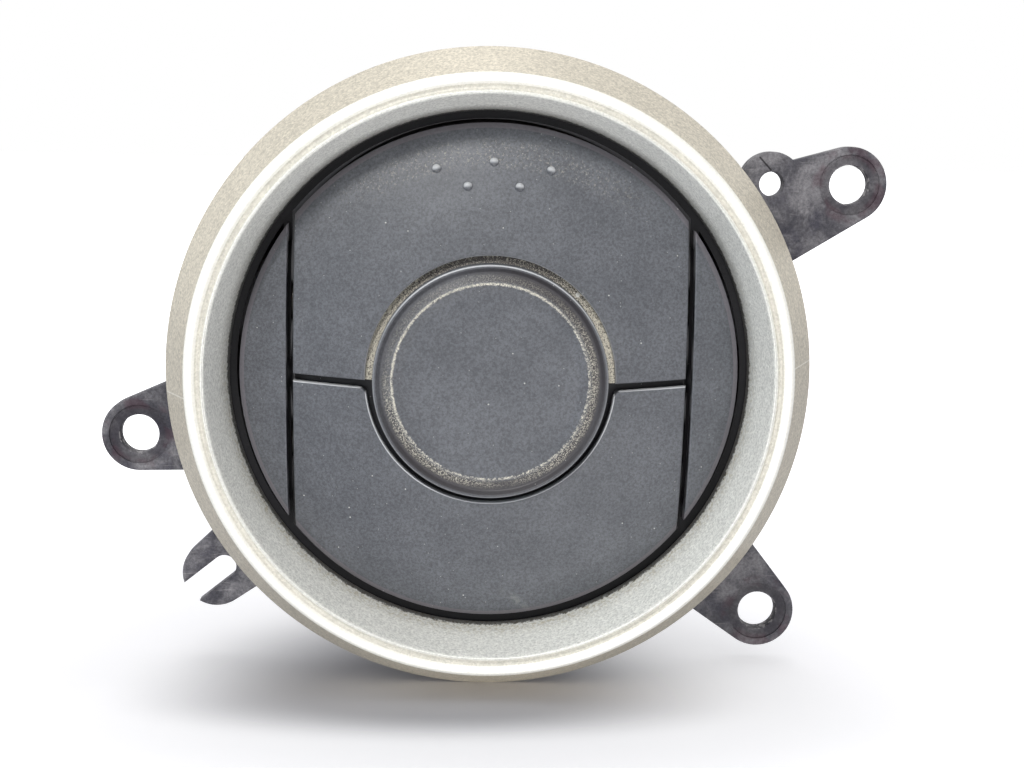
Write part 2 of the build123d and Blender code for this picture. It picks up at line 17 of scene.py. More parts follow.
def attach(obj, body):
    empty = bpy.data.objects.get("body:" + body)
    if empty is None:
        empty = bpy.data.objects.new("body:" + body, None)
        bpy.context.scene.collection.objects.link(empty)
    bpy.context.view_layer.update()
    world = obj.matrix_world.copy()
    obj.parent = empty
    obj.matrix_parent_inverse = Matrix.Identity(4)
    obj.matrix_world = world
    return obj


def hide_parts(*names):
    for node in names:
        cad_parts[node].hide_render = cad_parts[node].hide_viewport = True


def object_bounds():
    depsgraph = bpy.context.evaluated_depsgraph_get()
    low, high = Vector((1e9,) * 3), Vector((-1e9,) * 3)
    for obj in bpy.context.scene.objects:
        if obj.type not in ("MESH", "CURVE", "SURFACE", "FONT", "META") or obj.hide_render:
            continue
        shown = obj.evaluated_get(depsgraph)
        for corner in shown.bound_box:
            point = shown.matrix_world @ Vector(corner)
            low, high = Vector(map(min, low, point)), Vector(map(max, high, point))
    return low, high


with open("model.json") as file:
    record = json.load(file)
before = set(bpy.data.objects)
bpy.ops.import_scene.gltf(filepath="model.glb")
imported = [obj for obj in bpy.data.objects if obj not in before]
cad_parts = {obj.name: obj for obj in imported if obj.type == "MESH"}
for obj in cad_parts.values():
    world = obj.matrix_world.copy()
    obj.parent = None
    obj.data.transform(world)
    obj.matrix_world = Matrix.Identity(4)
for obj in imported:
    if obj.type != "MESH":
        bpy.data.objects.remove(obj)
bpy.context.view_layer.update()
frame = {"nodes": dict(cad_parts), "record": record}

MM = 0.001
SHOULDER = 46.0
scene = bpy.context.scene

# %% [markdown]
# ## The camera
# The vent is seen from the front, a little from above and from the left, and from close by, so that circles
# at different depths shift against each other. Position and turn were fitted to the outlines of the rings.

# %% Place the camera
LENS = 53.2
SENSOR = 36.0
DISTANCE = 232.7
PITCH = math.radians(9.56)
YAW = math.radians(-1.85)
ROLL = math.radians(1.2)
AIM = (-3.26, -0.02)

back = Vector((math.sin(YAW) * math.cos(PITCH), -math.cos(YAW) * math.cos(PITCH), math.sin(PITCH)))
right = Vector((math.cos(YAW), math.sin(YAW), 0))
up = back.cross(right)
eye = back * DISTANCE - right * AIM[0] - up * AIM[1]
turn = Matrix.Rotation(-ROLL, 4, "Y")
pose = Matrix((right, up, back)).transposed().to_4x4()
pose = turn @ Matrix.Translation(eye * MM) @ pose
camera = bpy.data.objects.new("camera", bpy.data.cameras.new("camera"))
scene.collection.objects.link(camera)
camera.matrix_world = Matrix.Translation((0, -SHOULDER * MM, 0)) @ pose
camera.data.lens = LENS
camera.data.sensor_width = SENSOR
camera.data.clip_start = 0.01
scene.camera = camera
print("camera at", [round(v / MM, 1) for v in camera.matrix_world.translation])

# %% [markdown]
# ## The main sizes
# Radii are measured from the vent's axis and depths from the front plane of the bezel, both in millimetres.
# They are the CAD model's own driving sizes, so that each smooth piece lands on the solid that it stands
# for.

# %% The main sizes
FACE_R, DOME_R, DOME_APEX = 39.7, 109.0, 0.8
SHELL, CHAMFER, RIM_WALL, RIM_DEPTH = 2.0, 0.9, 1.6, 11.0
HALF_WIDTH, GAP = 30.9, 1.1
BOSS_R, RECESS_R = 18.3, 19.5
SPLIT_Z, SPLIT_RISE = -0.75, 0.528
PIVOT_Z, PIVOT_DEPTH, PIVOT_R = 11.0, 12.0, 1.5
CONE_R, BEAD_R, CREST_R = 47.0, 45.4, 44.5
HOUSING_R, HOUSING_FRONT, HOUSING_REAR = 44.3, 10.75, 33.05
LUG_DEPTH, LUG_WALL = 21.0, 2.5
SCREW_HOLE_R, LOCATING_R, SPOT_FACE_R = 3.25, 2.0, 5.0
# Where a depth jumps, two rings of points lie this far apart.
STEP = 0.01


def polar(radius, angle):
    """The point (x, z) at a radius from the axis, in a direction in degrees."""
    return radius * math.cos(math.radians(angle)), radius * math.sin(math.radians(angle))


# Each lug: how far its screw hole lies outside the housing, its direction, and how its two edges spread.
LUGS = {
    "upper_right": (22.43, 27.5, 4.2, 11.7),
    "left": (15.41, 192.5, 11.5, 11.3),
    "lower_right": (19.36, 318, 7.1, 9.9),
}
screw_holes = [polar(HOUSING_R + reach, angle) for reach, angle, _, _ in LUGS.values()]
print("the face is", 2 * FACE_R, "mm across, the boss", 2 * BOSS_R)
print("screw holes, mm:", [tuple(round(v, 2) for v in hole) for hole in screw_holes])

# %% [markdown]
# ## Node maths as Python
# Every finish here is a sum of masks and noises on the object's own coordinates, and the Geometry Nodes
# trees work out places the same way. Wired by hand that is hard to read, so one small class wraps a socket,
# and Python's operators add the Math nodes.

# %% A socket that Python can calculate with
class Signal:
    """A node socket. Operators add Math nodes, and node() adds any other node."""

    def __init__(self, tree, socket):
        self.tree, self.socket = tree, socket

    def node(self, kind, settings=None, inputs=None, output=0):
        """Add a node: its settings first, then the values or links of its sockets."""
        made = self.tree.nodes.new(kind)
        for name, value in (settings or {}).items():
            setattr(made, name, value)
        for key, value in (inputs or {}).items():
            if isinstance(value, Signal):
                self.tree.links.new(value.socket, made.inputs[key])
            else:
                made.inputs[key].default_value = value
        return Signal(self.tree, made.outputs[output])

    def maths(self, operation, *values):
        return self.node("ShaderNodeMath", {"operation": operation}, dict(enumerate(values)))

    def __add__(self, other):
        return self.maths("ADD", self, other)

    def __radd__(self, other):
        return self.maths("ADD", other, self)

    def __sub__(self, other):
        return self.maths("SUBTRACT", self, other)

    def __rsub__(self, other):
        return self.maths("SUBTRACT", other, self)

    def __mul__(self, other):
        return self.maths("MULTIPLY", self, other)

    def __rmul__(self, other):
        return self.maths("MULTIPLY", other, self)

    def __truediv__(self, other):
        return self.maths("DIVIDE", self, other)

    def __pow__(self, other):
        return self.maths("POWER", self, other)

    def __abs__(self):
        return self.maths("ABSOLUTE", self)


def maximum(first, *others):
    """The largest of a signal and some more signals or numbers."""
    for other in others:
        first = first.maths("MAXIMUM", first, other)
    return first


made = [name.strip("_") for name, entry in vars(Signal).items() if name.startswith("__") and callable(entry)]
print("operators:", made[1:])

# %% [markdown]
# ## Sections and rings
# Trim rings are turned shapes. A section is drawn as points with a corner radius each, and a Geometry Nodes
# tree carries it round a circle. Drawing the roundings into the section keeps every highlight crisp.

# %% Round a section's corners
ARC_STEPS = 6
EDGE_HOLD = 0.04


def rounded(corners, closed=True):
    """Points of an outline whose corners (x, y, radius) are replaced by short arcs."""
    points = []
    count = len(corners)
    for i, (x, y, radius) in enumerate(corners):
        here = Vector((x, y))
        if radius == 0 or (not closed and i in (0, count - 1)):
            points.append(here)
            continue
        before = Vector(corners[i - 1][:2]) - here
        after = Vector(corners[(i + 1) % count][:2]) - here
        half = before.angle(after) / 2
        reach = radius / math.tan(half)
        start = here + before.normalized() * reach
        end = here + after.normalized() * reach
        centre = here + (before.normalized() + after.normalized()).normalized() * radius / math.sin(half)
        points.append(start + before.normalized() * EDGE_HOLD)
        first = math.atan2(start.y - centre.y, start.x - centre.x)
        sweep = math.atan2(end.y - centre.y, end.x - centre.x) - first
        sweep = (sweep + math.pi) % (2 * math.pi) - math.pi
        for k in range(ARC_STEPS + 1):
            angle = first + sweep * k / ARC_STEPS
            points.append(centre + radius * Vector((math.cos(angle), math.sin(angle))))
        points.append(end + after.normalized() * EDGE_HOLD)
    return [(p.x, p.y) for p in points]


print("a rounded corner has", ARC_STEPS + 3, "points")

# %% Build the tree that turns a section into a ring
def new_tree(name, sockets):
    """A Geometry Nodes tree with named inputs, and a signal for each input."""
    tree = bpy.data.node_groups.new(name, "GeometryNodeTree")
    for label, kind in sockets:
        tree.interface.new_socket(name=label, in_out="INPUT", socket_type="NodeSocket" + kind)
    tree.interface.new_socket(name="Result", in_out="OUTPUT", socket_type="NodeSocketGeometry")
    given = tree.nodes.new("NodeGroupInput")
    return tree, [Signal(tree, socket) for socket in list(given.outputs)[: len(sockets)]]


def end_tree(geometry, finish):
    """Realize the instances, set the material and link the result."""
    real = geometry.node("GeometryNodeRealizeInstances", None, {"Geometry": geometry})
    painted = real.node("GeometryNodeSetMaterial", None, {"Geometry": real, "Material": finish})
    result = geometry.tree.nodes.new("NodeGroupOutput")
    geometry.tree.links.new(painted.socket, result.inputs[0])


def ring_tree():
    sockets = [("Section", "Geometry"), ("Mean radius", "Float"), ("Steps", "Int"), ("Finish", "Material")]
    tree, (section, radius, steps, finish) = new_tree("ring_from_section", sockets)
    circle = radius.node("GeometryNodeCurvePrimitiveCircle", None, {"Resolution": steps, "Radius": radius})
    curve = section.node("GeometryNodeMeshToCurve", None, {"Mesh": section})
    shift = radius.node("ShaderNodeCombineXYZ", None, {"X": radius * -1})
    profile = curve.node("GeometryNodeTransform", None, {"Geometry": curve, "Translation": shift})
    swept = curve.node("GeometryNodeCurveToMesh", None, {"Curve": circle, "Profile Curve": profile})
    stand = {"Geometry": swept, "Rotation": (math.radians(90), 0, 0)}
    stood = swept.node("GeometryNodeTransform", None, stand)
    welded = stood.node("GeometryNodeMergeByDistance", None, {"Geometry": stood, "Distance": 1e-7})
    end_tree(welded.node("GeometryNodeSetShadeSmooth", None, {0: welded}), finish)
    return tree


ring_from_section = ring_tree()
print("ring tree has", len(ring_from_section.nodes), "nodes")

# %% Run a tree on an object and keep the plain mesh
RING_STEPS = 256


def grown(name, mesh, tree, inputs):
    """Run a Geometry Nodes tree on a mesh, set its named inputs, and return an object with the result."""
    source = bpy.data.objects.new(name, mesh)
    scene.collection.objects.link(source)
    modifier = source.modifiers.new(tree.name, "NODES")
    modifier.node_group = tree
    for item in tree.interface.items_tree:
        if item.item_type == "SOCKET" and item.in_out == "INPUT" and item.name in inputs:
            modifier[item.identifier] = inputs[item.name]
    evaluated = source.evaluated_get(bpy.context.evaluated_depsgraph_get())
    result = bpy.data.meshes.new_from_object(evaluated)
    source.modifiers.remove(modifier)
    source.data = result
    result.name = name
    return source


def outward(mesh):
    """Weld a closed mesh and point its faces outwards."""
    work = bmesh.new()
    work.from_mesh(mesh)
    bmesh.ops.remove_doubles(work, verts=work.verts, dist=1e-8)
    bmesh.ops.recalc_face_normals(work, faces=work.faces)
    work.to_mesh(mesh)
    work.free()


def turned(name, section, finish, steps=RING_STEPS):
    """A ring from a section of (radius, depth) points in millimetres."""
    mesh = bpy.data.meshes.new(name)
    points = [(r * MM, (depth - SHOULDER) * MM, 0) for r, depth in section]
    edges = [(i, (i + 1) % len(points)) for i in range(len(points))]
    mesh.from_pydata(points, edges, [])
    inputs = {"Mean radius": section[0][0] * MM, "Steps": steps, "Finish": finish}
    ring = grown(name, mesh, ring_from_section, inputs)
    outward(ring.data)
    return ring


print("the bezel's ring has", RING_STEPS, "steps")

# %% Pieces turned about an axis of their own
SHARP_ANGLE = math.radians(34)


def solid(name, verts, faces, finish):
    """An object from points in millimetres, welded, its faces outwards and smooth but for sharp edges."""
    mesh = bpy.data.meshes.new(name)
    mesh.from_pydata([tuple(c * MM for c in v) for v in verts], [], faces)
    outward(mesh)
    mesh.shade_smooth()
    mesh.set_sharp_from_angle(angle=SHARP_ANGLE)
    mesh.materials.append(finish)
    piece = bpy.data.objects.new(name, mesh)
    scene.collection.objects.link(piece)
    return piece


def lathed(name, section, finish, place=None, steps=64, span=(0, 360)):
    """A section of (radius, depth) points turned about its own axis, all round or between two angles."""
    whole = span[1] - span[0] >= 360
    angles = np.radians(np.linspace(*span, steps if whole else steps + 1, endpoint=not whole))
    place = place or (lambda x, depth, z: (x, depth - SHOULDER, z))
    count, total = len(section), len(angles)
    verts = [place(r * math.cos(a), depth, r * math.sin(a)) for a in angles for r, depth in section]
    faces = []
    for i in range(total if whole else total - 1):
        here, there = i * count, (i + 1) % total * count
        for k in range(count):
            after = (k + 1) % count
            faces.append((here + k, here + after, there + after, there + k))
    if not whole:
        faces += [tuple(range(count)), tuple(range((total - 1) * count, total * count))]
    return solid(name, verts, faces, finish)


print("edges sharper than", round(math.degrees(SHARP_ANGLE)), "degrees stay crisp")

# %% Attach a piece to its body and hide the nodes it stands for
def measured(piece):
    corners = [piece.matrix_world @ Vector(c) for c in piece.bound_box]
    low = [round(min(c[i] for c in corners) / MM, 2) for i in range(3)]
    high = [round(max(c[i] for c in corners) / MM, 2) for i in range(3)]
    return f"{piece.name}: {low} to {high} mm, {len(piece.data.polygons)} faces"


def fitted(piece, body, slot_name, *nodes):
    """Attach the piece to the body that it rides on and hide the nodes that it stands for. slot_name is not
    used.
    """
    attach(piece, body)
    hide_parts(*nodes)
    print(measured(piece))


# %% [markdown]
# ## Building blocks for the finishes
# Real plastic and paint are never one colour. Soft masks, fine noise, cells for flakes and streaks for
# scratches are mixed in the object's own millimetres, so that every grain has its true size from any side.

# %% Masks, mixes and noises
def rise(value, low, high):
    """0 below low, 1 above high, smooth between."""
    limits = {"Value": value, "From Min": low, "From Max": high}
    return value.node("ShaderNodeMapRange", {"interpolation_type": "SMOOTHSTEP"}, limits)


def band(value, low, high, soft):
    """1 between low and high, with soft edges."""
    return rise(value, low - soft, low + soft) * (1 - rise(value, high - soft, high + soft))


def blend(factor, first, second):
    """A colour between two."""
    return factor.node("ShaderNodeMix", {"data_type": "RGBA"}, {0: factor, 6: first, 7: second}, 2)


def layered(colour, *layers):
    """Lay colours over a first one. Each layer is a mask and its colour, and the last lies on top."""
    for mask, over in layers:
        colour = blend(mask, colour, over)
    return colour


def toned(colour, factor):
    """A colour made lighter or darker by a number."""
    return factor.node("ShaderNodeVectorMath", {"operation": "SCALE"}, {0: colour, "Scale": factor})


def noise(place, scale, detail=2.0, roughness=0.5, distortion=0.0):
    """Soft noise about 0.5; scale is in waves per millimetre."""
    values = {"Vector": place, "Scale": scale, "Detail": detail}
    values |= {"Roughness": roughness, "Distortion": distortion}
    return place.node("ShaderNodeTexNoise", None, values)


def cells(place, scale, output=0):
    """Scattered cells: output 0 is the distance to the cell's middle, 1 its random colour."""
    return place.node("ShaderNodeTexVoronoi", {"feature": "F1"}, {"Vector": place, "Scale": scale}, output)


def random_shade(place, scale):
    """A random number for each small cell."""
    colour = cells(place, scale, 1)
    return colour.node("ShaderNodeSeparateColor", None, {0: colour})


def specks(place, scale, size, share):
    """Small dots: one in some of the cells, about size times the cell's width."""
    near = 1 - rise(cells(place, scale), size * 0.6, size)
    return near * rise(random_shade(place, scale), 1 - share - 0.01, 1 - share + 0.01)


def stretched(place, turn, scale):
    """Coordinates turned and stretched, for streaks and scratches."""
    values = {"Vector": place, "Rotation": turn, "Scale": scale}
    return place.node("ShaderNodeMapping", {"vector_type": "POINT"}, values)


helpers = (rise, band, blend, layered, toned, noise, cells, random_shade, specks, stretched)
print("helpers:", [helper.__name__ for helper in helpers])

# %% Start a finish
class Finish:
    """A material with its shader, and the place on the object in millimetres."""

    def __init__(self, name, **constants):
        self.material = bpy.data.materials.new(name)
        self.material.use_nodes = True
        tree = self.material.node_tree
        self.shader = tree.nodes["Principled BSDF"]
        for socket, value in constants.items():
            self.shader.inputs[socket.replace("_", " ")].default_value = value
        start = Signal(tree, None)
        metres = start.node("ShaderNodeTexCoord", None, None, 3)
        shift = {0: metres, 1: (0, SHOULDER * MM, 0)}
        centred = metres.node("ShaderNodeVectorMath", {"operation": "ADD"}, shift)
        to_mm = {0: centred, "Scale": 1 / MM}
        self.place = metres.node("ShaderNodeVectorMath", {"operation": "SCALE"}, to_mm)
        self.x, self.depth, self.z = (
            self.place.node("ShaderNodeSeparateXYZ", None, {0: self.place}, axis) for axis in range(3)
        )
        front = {0: self.place, 1: (1, 0, 1)}
        self.flat = self.place.node("ShaderNodeVectorMath", {"operation": "MULTIPLY"}, front)
        self.radius = self.flat.node("ShaderNodeVectorMath", {"operation": "LENGTH"}, {0: self.flat}, 1)

    def feed(self, **signals):
        for socket, signal in signals.items():
            self.material.node_tree.links.new(signal.socket, self.shader.inputs[socket.replace("_", " ")])

    def relief(self, height, distance):
        """Feed the normal from a height, with distance in millimetres for a height of 1."""
        values = {"Height": height, "Distance": distance * MM, "Strength": 1.0}
        self.feed(Normal=height.node("ShaderNodeBump", None, values))

    def __str__(self):
        return f"{self.material.name}: {len(self.material.node_tree.nodes)} nodes so far"


def linear(value):
    """A level from 0 to 255 as it looks on screen, as the linear level that shaders take."""
    return value / 255 / 12.92 if value <= 10 else ((value / 255 + 0.055) / 1.055) ** 2.4


def tint(red, green, blue):
    """A colour as it looks on screen."""
    return linear(red), linear(green), linear(blue), 1


finishes = {}
print("mid grey is", [round(c, 3) for c in tint(128, 128, 128)])

# %% [markdown]
# ## The bezel's paint
# The ring is sprayed with a silver metallic paint, warm champagne on the outer cone and cooler inside.
# Flakes make it sparkle, and two fine parting ticks cross the cone. The bead and thin lines at the cone's
# edge and inside the crest are lightened as painted highlights. Towards the face the wall is darkened as
# painted shade, more at the top, and carries beige dust and a dark line of specks and painted shade along the
# gap.
# Each is a mask by radius, depth or height, so it keeps its place from any side.

# %% The paint, with painted highlights on the bead and edges
PARTING_ANGLE = math.radians(3.7)
THROAT_SILVER, BEAD_SILVER, CHAMPAGNE = tint(231, 231, 225), tint(236, 234, 227), tint(189, 182, 167)
GROOVE_GREY, BRIGHT_EDGE = tint(216, 210, 196), tint(246, 244, 236)


def sprayed_paint(paint, cone, flake, grain):
    """The colours of throat, bead, cone and groove, with sparkle, parting ticks, and painted highlights on
    bead and edges.
    """
    radius = paint.radius
    groove = band(radius, CREST_R, BEAD_R, 0.08)
    bead = band(radius, BEAD_R, CONE_R, 0.06)
    colour = layered(THROAT_SILVER, (bead, BEAD_SILVER), (cone, CHAMPAGNE), (groove * 0.6, GROOVE_GREY))
    sparkle = (0.2 + 0.14 * cone - 0.14 * bead) * flake
    sparkle = sparkle + 0.3 * rise(grain, 0.35, 0.65) * (1 - maximum(bead, groove) * 0.7)
    cloud = noise(paint.place, 0.09, 3)
    # the bead is lightened as a painted highlight; flakes and cloud vary the tone
    colour = toned(colour, 0.72 + 0.2 * bead + sparkle + 0.08 * cloud)
    # painted highlights: thin bright lines at the cone's front edge and just inside the crest
    edge = band(radius, CONE_R - 0.02, CONE_R + 0.12, 0.04)
    edge = edge + band(radius, CREST_R - 0.6, CREST_R - 0.1, 0.1) * 0.7
    across = abs(paint.z * math.cos(PARTING_ANGLE) - paint.x * math.sin(PARTING_ANGLE))
    tick = (1 - rise(across, 0.04, 0.16)) * cone
    return blend((edge + tick * 0.8) * 0.6, colour, BRIGHT_EDGE)


paint = Finish("bezel_paint", IOR=1.5)
flake, grain = random_shade(paint.place, 2.8), noise(paint.place, 2.6, 3, 0.7)
cone = rise(paint.radius, CONE_R - 0.05, CONE_R + 0.2)
colour = sprayed_paint(paint, cone, flake, grain)
print(paint)

# %% Painted shade, dust and a dark line in the throat
GAP_DEPTH = 9.5
BEIGE_DUST, SOOT_AND_SHADE = tint(178, 168, 138), tint(30, 28, 30)


def throat_dirt(paint, colour):
    """Painted shade, dust, and a dark line of specks and painted shade by the gap, on the inner wall. Returns
    the colour and where dust lies.
    """
    wall = 1 - rise(paint.radius, 43.6, 43.9)
    low_down = rise(paint.z, 12, -22)
    fluff = noise(paint.place, 1.7, 4, 0.75)
    dust = rise(fluff, 0.48, 0.62) * rise(paint.depth, GAP_DEPTH - 4.5, GAP_DEPTH)
    dust = dust * (0.35 + 0.65 * low_down) * wall
    # painted shade: the wall darkens towards the face, more at the top
    shade = rise(paint.depth, 5.5, GAP_DEPTH) * (0.2 + 0.4 * rise(paint.z, -10, 35)) * wall
    grime = rise(noise(paint.place, 3.1, 2, 0.6), 0.66, 0.72) * 0.25
    # a dark line at the wall's edge by the gap: dark specks and painted shade
    soot_and_shade = rise(paint.depth + 2.4 * (fluff - 0.5), GAP_DEPTH - 0.25, GAP_DEPTH + 0.15) * wall
    colour = layered(toned(colour, 1 - shade), (maximum(dust * 0.75, grime), BEIGE_DUST), (soot_and_shade * 0.85, SOOT_AND_SHADE))
    return colour, dust


colour, dust = throat_dirt(paint, colour)
paint.feed(Base_Color=colour, Metallic=0.12 + 0.24 * cone, Roughness=0.36 + 0.14 * grain + 0.35 * dust)
paint.relief(flake * 0.35 + grain, 0.012)
finishes["bezel_paint"] = paint.material
print(paint)

# %% [markdown]
# ## The face's satin plastic
# Blades and cheeks are moulded in charcoal plastic with a fine spark texture. Pale crumbs fill the recess,
# a broken pale line of dust, crisp at the upper left as a painted highlight, and painted shade lie in the
# boss's trough, the edges carry painted highlights, the gaps painted shade and the chamfer painted light, and
# white specks are everywhere. The masks use the same sizes as the shapes: how far a point lies from the
# axis, and how far behind the dome.

# %% Charcoal plastic, and where a point of the face lies
def place_on_face(face):
    """Give the finish masks for upper blade, recess and boss, and the distance behind the dome."""
    dome_depth = DOME_APEX + DOME_R - (DOME_R**2 - face.radius * face.radius) ** 0.5
    face.behind = face.depth - dome_depth
    face.upper = rise(face.z, SPLIT_Z - 0.4, SPLIT_Z + 0.4)
    face.in_recess = 1 - rise(face.behind, 1.5, 1.7)
    face.on_boss = 1 - rise(face.depth, 2.3, 2.5)


face = Finish("face_satin", IOR=1.5)
place_on_face(face)
grain = noise(face.place, 2.3, 4, 0.8)
cloud = rise(noise(face.place, 0.12, 4, 0.6), 0.3, 0.7)
mottle = rise(noise(face.place, 0.8, 3, 0.6), 0.35, 0.65)
colour = blend(cloud, tint(78, 80, 85), tint(88, 90, 95))
colour = toned(colour, 0.66 + 0.08 * mottle + 0.6 * rise(grain, 0.34, 0.66))
print(face)

# %% Dust round the boss, with painted shade and a painted highlight in its trough
RECESS_DIRT, CRUMB, PALE_LINE = tint(70, 65, 63), tint(212, 206, 190), tint(226, 221, 206)
TROUGH_SHADE, LEDGE_DUST = tint(44, 40, 43), tint(204, 199, 184)


def boss_dirt(face, colour, grain):
    """Crumbs in the recess; a broken pale line of dust with a painted highlight, painted shade and dust in
    the trough. Also returns the dust.
    """
    x, z, radius = face.x, face.z, face.radius
    dots = noise(face.place, 5.0, 4, 0.8)
    recess = band(radius, BOSS_R + 0.05, RECESS_R - 0.02, 0.06) * face.upper * face.in_recess
    crumbs = rise(dots + 0.1 * rise(abs(x), 6, 18), 0.51, 0.6)
    # painted highlight: the pale line is crisp towards the upper left
    crisp = rise(z - x * 0.7, -4, 8) * rise(grain, 0.3, 0.5)
    broken = rise(grain, 0.46, 0.56)
    line = band(radius + 0.8 * (grain - 0.5), 15.15, 15.5, 0.12) * face.on_boss
    line = line * maximum(crisp, broken) * (0.2 + 0.8 * rise(dots, 0.42, 0.54))
    # painted shade in the trough, stronger to the right and below
    trough = band(radius, 15.7, 17.9, 0.3) * face.on_boss
    shaded_side = 0.35 + 0.5 * maximum(rise(x, -8, 6), rise(-1 * z, 2, 12))
    dusty_side = maximum(rise(x - 0.3 * z, 6, 15), rise(-1 * x - z, 12, 22))
    ledge = band(radius, 15.4, 16.7, 0.4) * rise(dots, 0.5, 0.57) * face.on_boss * (0.25 + 0.75 * dusty_side)
    colour = layered(
        colour, (recess, blend(crumbs, RECESS_DIRT, CRUMB)), (line, PALE_LINE), (trough * shaded_side, TROUGH_SHADE),
        (ledge * 0.85, LEDGE_DUST),
    )
    return colour, maximum(crumbs * recess, line)


colour, dust = boss_dirt(face, colour, grain)
print(face)

# %% Painted highlights on edges, painted light on the chamfer, painted shade in the gaps
CHAMFER_PAINTED_LIGHT, GAP_SHADE, EDGE_HIGHLIGHT = tint(118, 112, 118), tint(16, 16, 22), tint(196, 198, 200)


def worn_edges(face, colour):
    """Painted highlights on rims, edges and pip tops, painted light on the chamfer, and painted shade in the
    gaps.
    """
    x, z, radius = face.x, face.z, face.radius
    # painted highlights: thin light lines on the boss rim (stronger at the top), the recess edge, the
    # cut-out, the split and the pip tops
    rim = band(radius, 18.06, 18.26, 0.05) * (0.25 + 0.6 * rise(z, 6, 15)) * face.on_boss
    brim_highlight = band(radius, RECESS_R - 0.02, RECESS_R + 0.14, 0.05) * face.upper * face.in_recess * 0.45
    cut_edge_highlight = band(radius, BOSS_R + GAP - 0.05, BOSS_R + GAP + 0.18, 0.05)
    cut_edge_highlight = cut_edge_highlight * (1 - face.upper) * face.in_recess
    slope = SPLIT_RISE / (HALF_WIDTH - BOSS_R)
    split = z - maximum(abs(x) - BOSS_R, 0.0) * slope - SPLIT_Z
    split_edge_highlight = band(split, -GAP / 2 - 0.2, -GAP / 2 + 0.1, 0.04) * rise(radius, RECESS_R, RECESS_R + 0.4)
    split_edge_highlight = split_edge_highlight * (1 - rise(abs(x), HALF_WIDTH, HALF_WIDTH + 0.1)) * face.in_recess
    pip_upper_half = maximum(rise(radius, 33.4, 34.0), band(radius, 30.2, 31.8, 0.3))
    pip_top_highlight = rise(-1 * face.behind, 0.06, 0.25) * pip_upper_half * 0.75
    edge_highlights = maximum(pip_top_highlight, rim, brim_highlight, cut_edge_highlight, split_edge_highlight * 0.8)
    # painted light: the chamfer, which the lamps barely reach, is lightened
    chamfer = band(radius, FACE_R - CHAMFER + 0.1, FACE_R + 0.3, 0.08)
    # painted shade: the blades' side walls and deep parts in the gaps are painted near black
    split_gap_shade = band(face.behind, 0.35, 1.7, 0.15) * rise(radius, 20.4, 20.6)
    gap = maximum(split_gap_shade, band(face.behind, 2.3, 4.0, 0.1))
    gap = gap * (1 - rise(radius, FACE_R - CHAMFER - 0.4, FACE_R - CHAMFER - 0.2))
    return layered(colour, (chamfer * 0.5, CHAMFER_PAINTED_LIGHT), (gap, GAP_SHADE), (edge_highlights, EDGE_HIGHLIGHT))


colour = worn_edges(face, colour)
print(face)

# %% Specks, a chip and a scuff
def distance(flat, point):
    return flat.node("ShaderNodeVectorMath", {"operation": "DISTANCE"}, {0: flat, 1: point}, 1)


def haze(place, centre, angle, sizes):
    """A soft scuff: an ellipse of broken streaks, which runs through in depth."""
    shape = {"Location": (centre[0], 0, centre[1]), "Rotation": (0, math.radians(angle), 0)}
    shape |= {"Vector": place, "Scale": (sizes[0], 1e4, sizes[1])}
    local = place.node("ShaderNodeMapping", {"vector_type": "TEXTURE"}, shape)
    reach = local.node("ShaderNodeVectorMath", {"operation": "LENGTH"}, {0: local}, 1)
    return (1 - rise(reach, 0.2, 1.0)) * rise(noise(place, 0.9, 4, 0.7, 0.6), 0.4, 0.65)


def specks_and_scuffs(face, colour):
    """Returns the colour and where the specks lie."""
    place = face.place
    spots = maximum(specks(place, 0.55, 0.08, 0.2), specks(place, 1.5, 0.13, 0.1) * 0.7)
    chip = 1 - rise(distance(face.flat, (13.3, 0, 13.6)), 0.26, 0.46)
    scuff = haze(place, (5.0, -36.8), 35, (4.5, 1.2))
    top_dust = band(face.radius, 33, 37, 1.0) * rise(face.z, 24, 33)
    top_dust = top_dust * rise(noise(place, 2.6, 4, 0.8), 0.55, 0.63)
    colour = layered(
        colour, (top_dust * 0.35, tint(188, 182, 168)), (maximum(spots * 0.6, chip), tint(222, 222, 216)),
        (scuff * 0.4, tint(140, 142, 140)),
    )
    return colour, spots


colour, spots = specks_and_scuffs(face, colour)
dusty = maximum(spots, dust)
face.feed(Base_Color=colour, Roughness=0.42 + 0.12 * grain + 0.3 * dusty)
face.relief(grain + 1.5 * dusty, 0.02)
finishes["face_satin"] = face.material
print(face)

# %% [markdown]
# ## The black plastic
# Housing, collar and barrel are glass-filled black plastic: a mottled grey bloom, mostly on the lugs that
# hands have held, a purplish cast in places, fine pale scratches, and a darker ring round each screw hole
# where a washer sat. Inside the mouth it is painted nearly black as shade, so that the gap round the face
# reads as a dark line.

# %% Bloom and the marks round the screw holes
def mottled_black(plastic, fine, bloom):
    """Black with a grey bloom and bluish patches, mostly outside the bezel."""
    handled = 0.2 + 0.8 * rise(plastic.radius, 46, 54)
    patch = rise(noise(plastic.place, 0.22, 2), 0.5, 0.66)
    colour = blend(0.4 + (rise(bloom, 0.35, 0.7) - 0.4) * handled, tint(64, 63, 69), tint(124, 122, 125))
    colour = blend(patch * handled * 0.35, colour, tint(48, 47, 62))
    return toned(colour, 0.72 + 0.56 * rise(fine, 0.34, 0.66))


def nearest_hole(plastic):
    """The distance to the middle of the nearest screw hole."""
    near, *others = (distance(plastic.flat, (x, 0, z)) for x, z in screw_holes)
    for far in others:
        near = near.maths("MINIMUM", near, far)
    return near


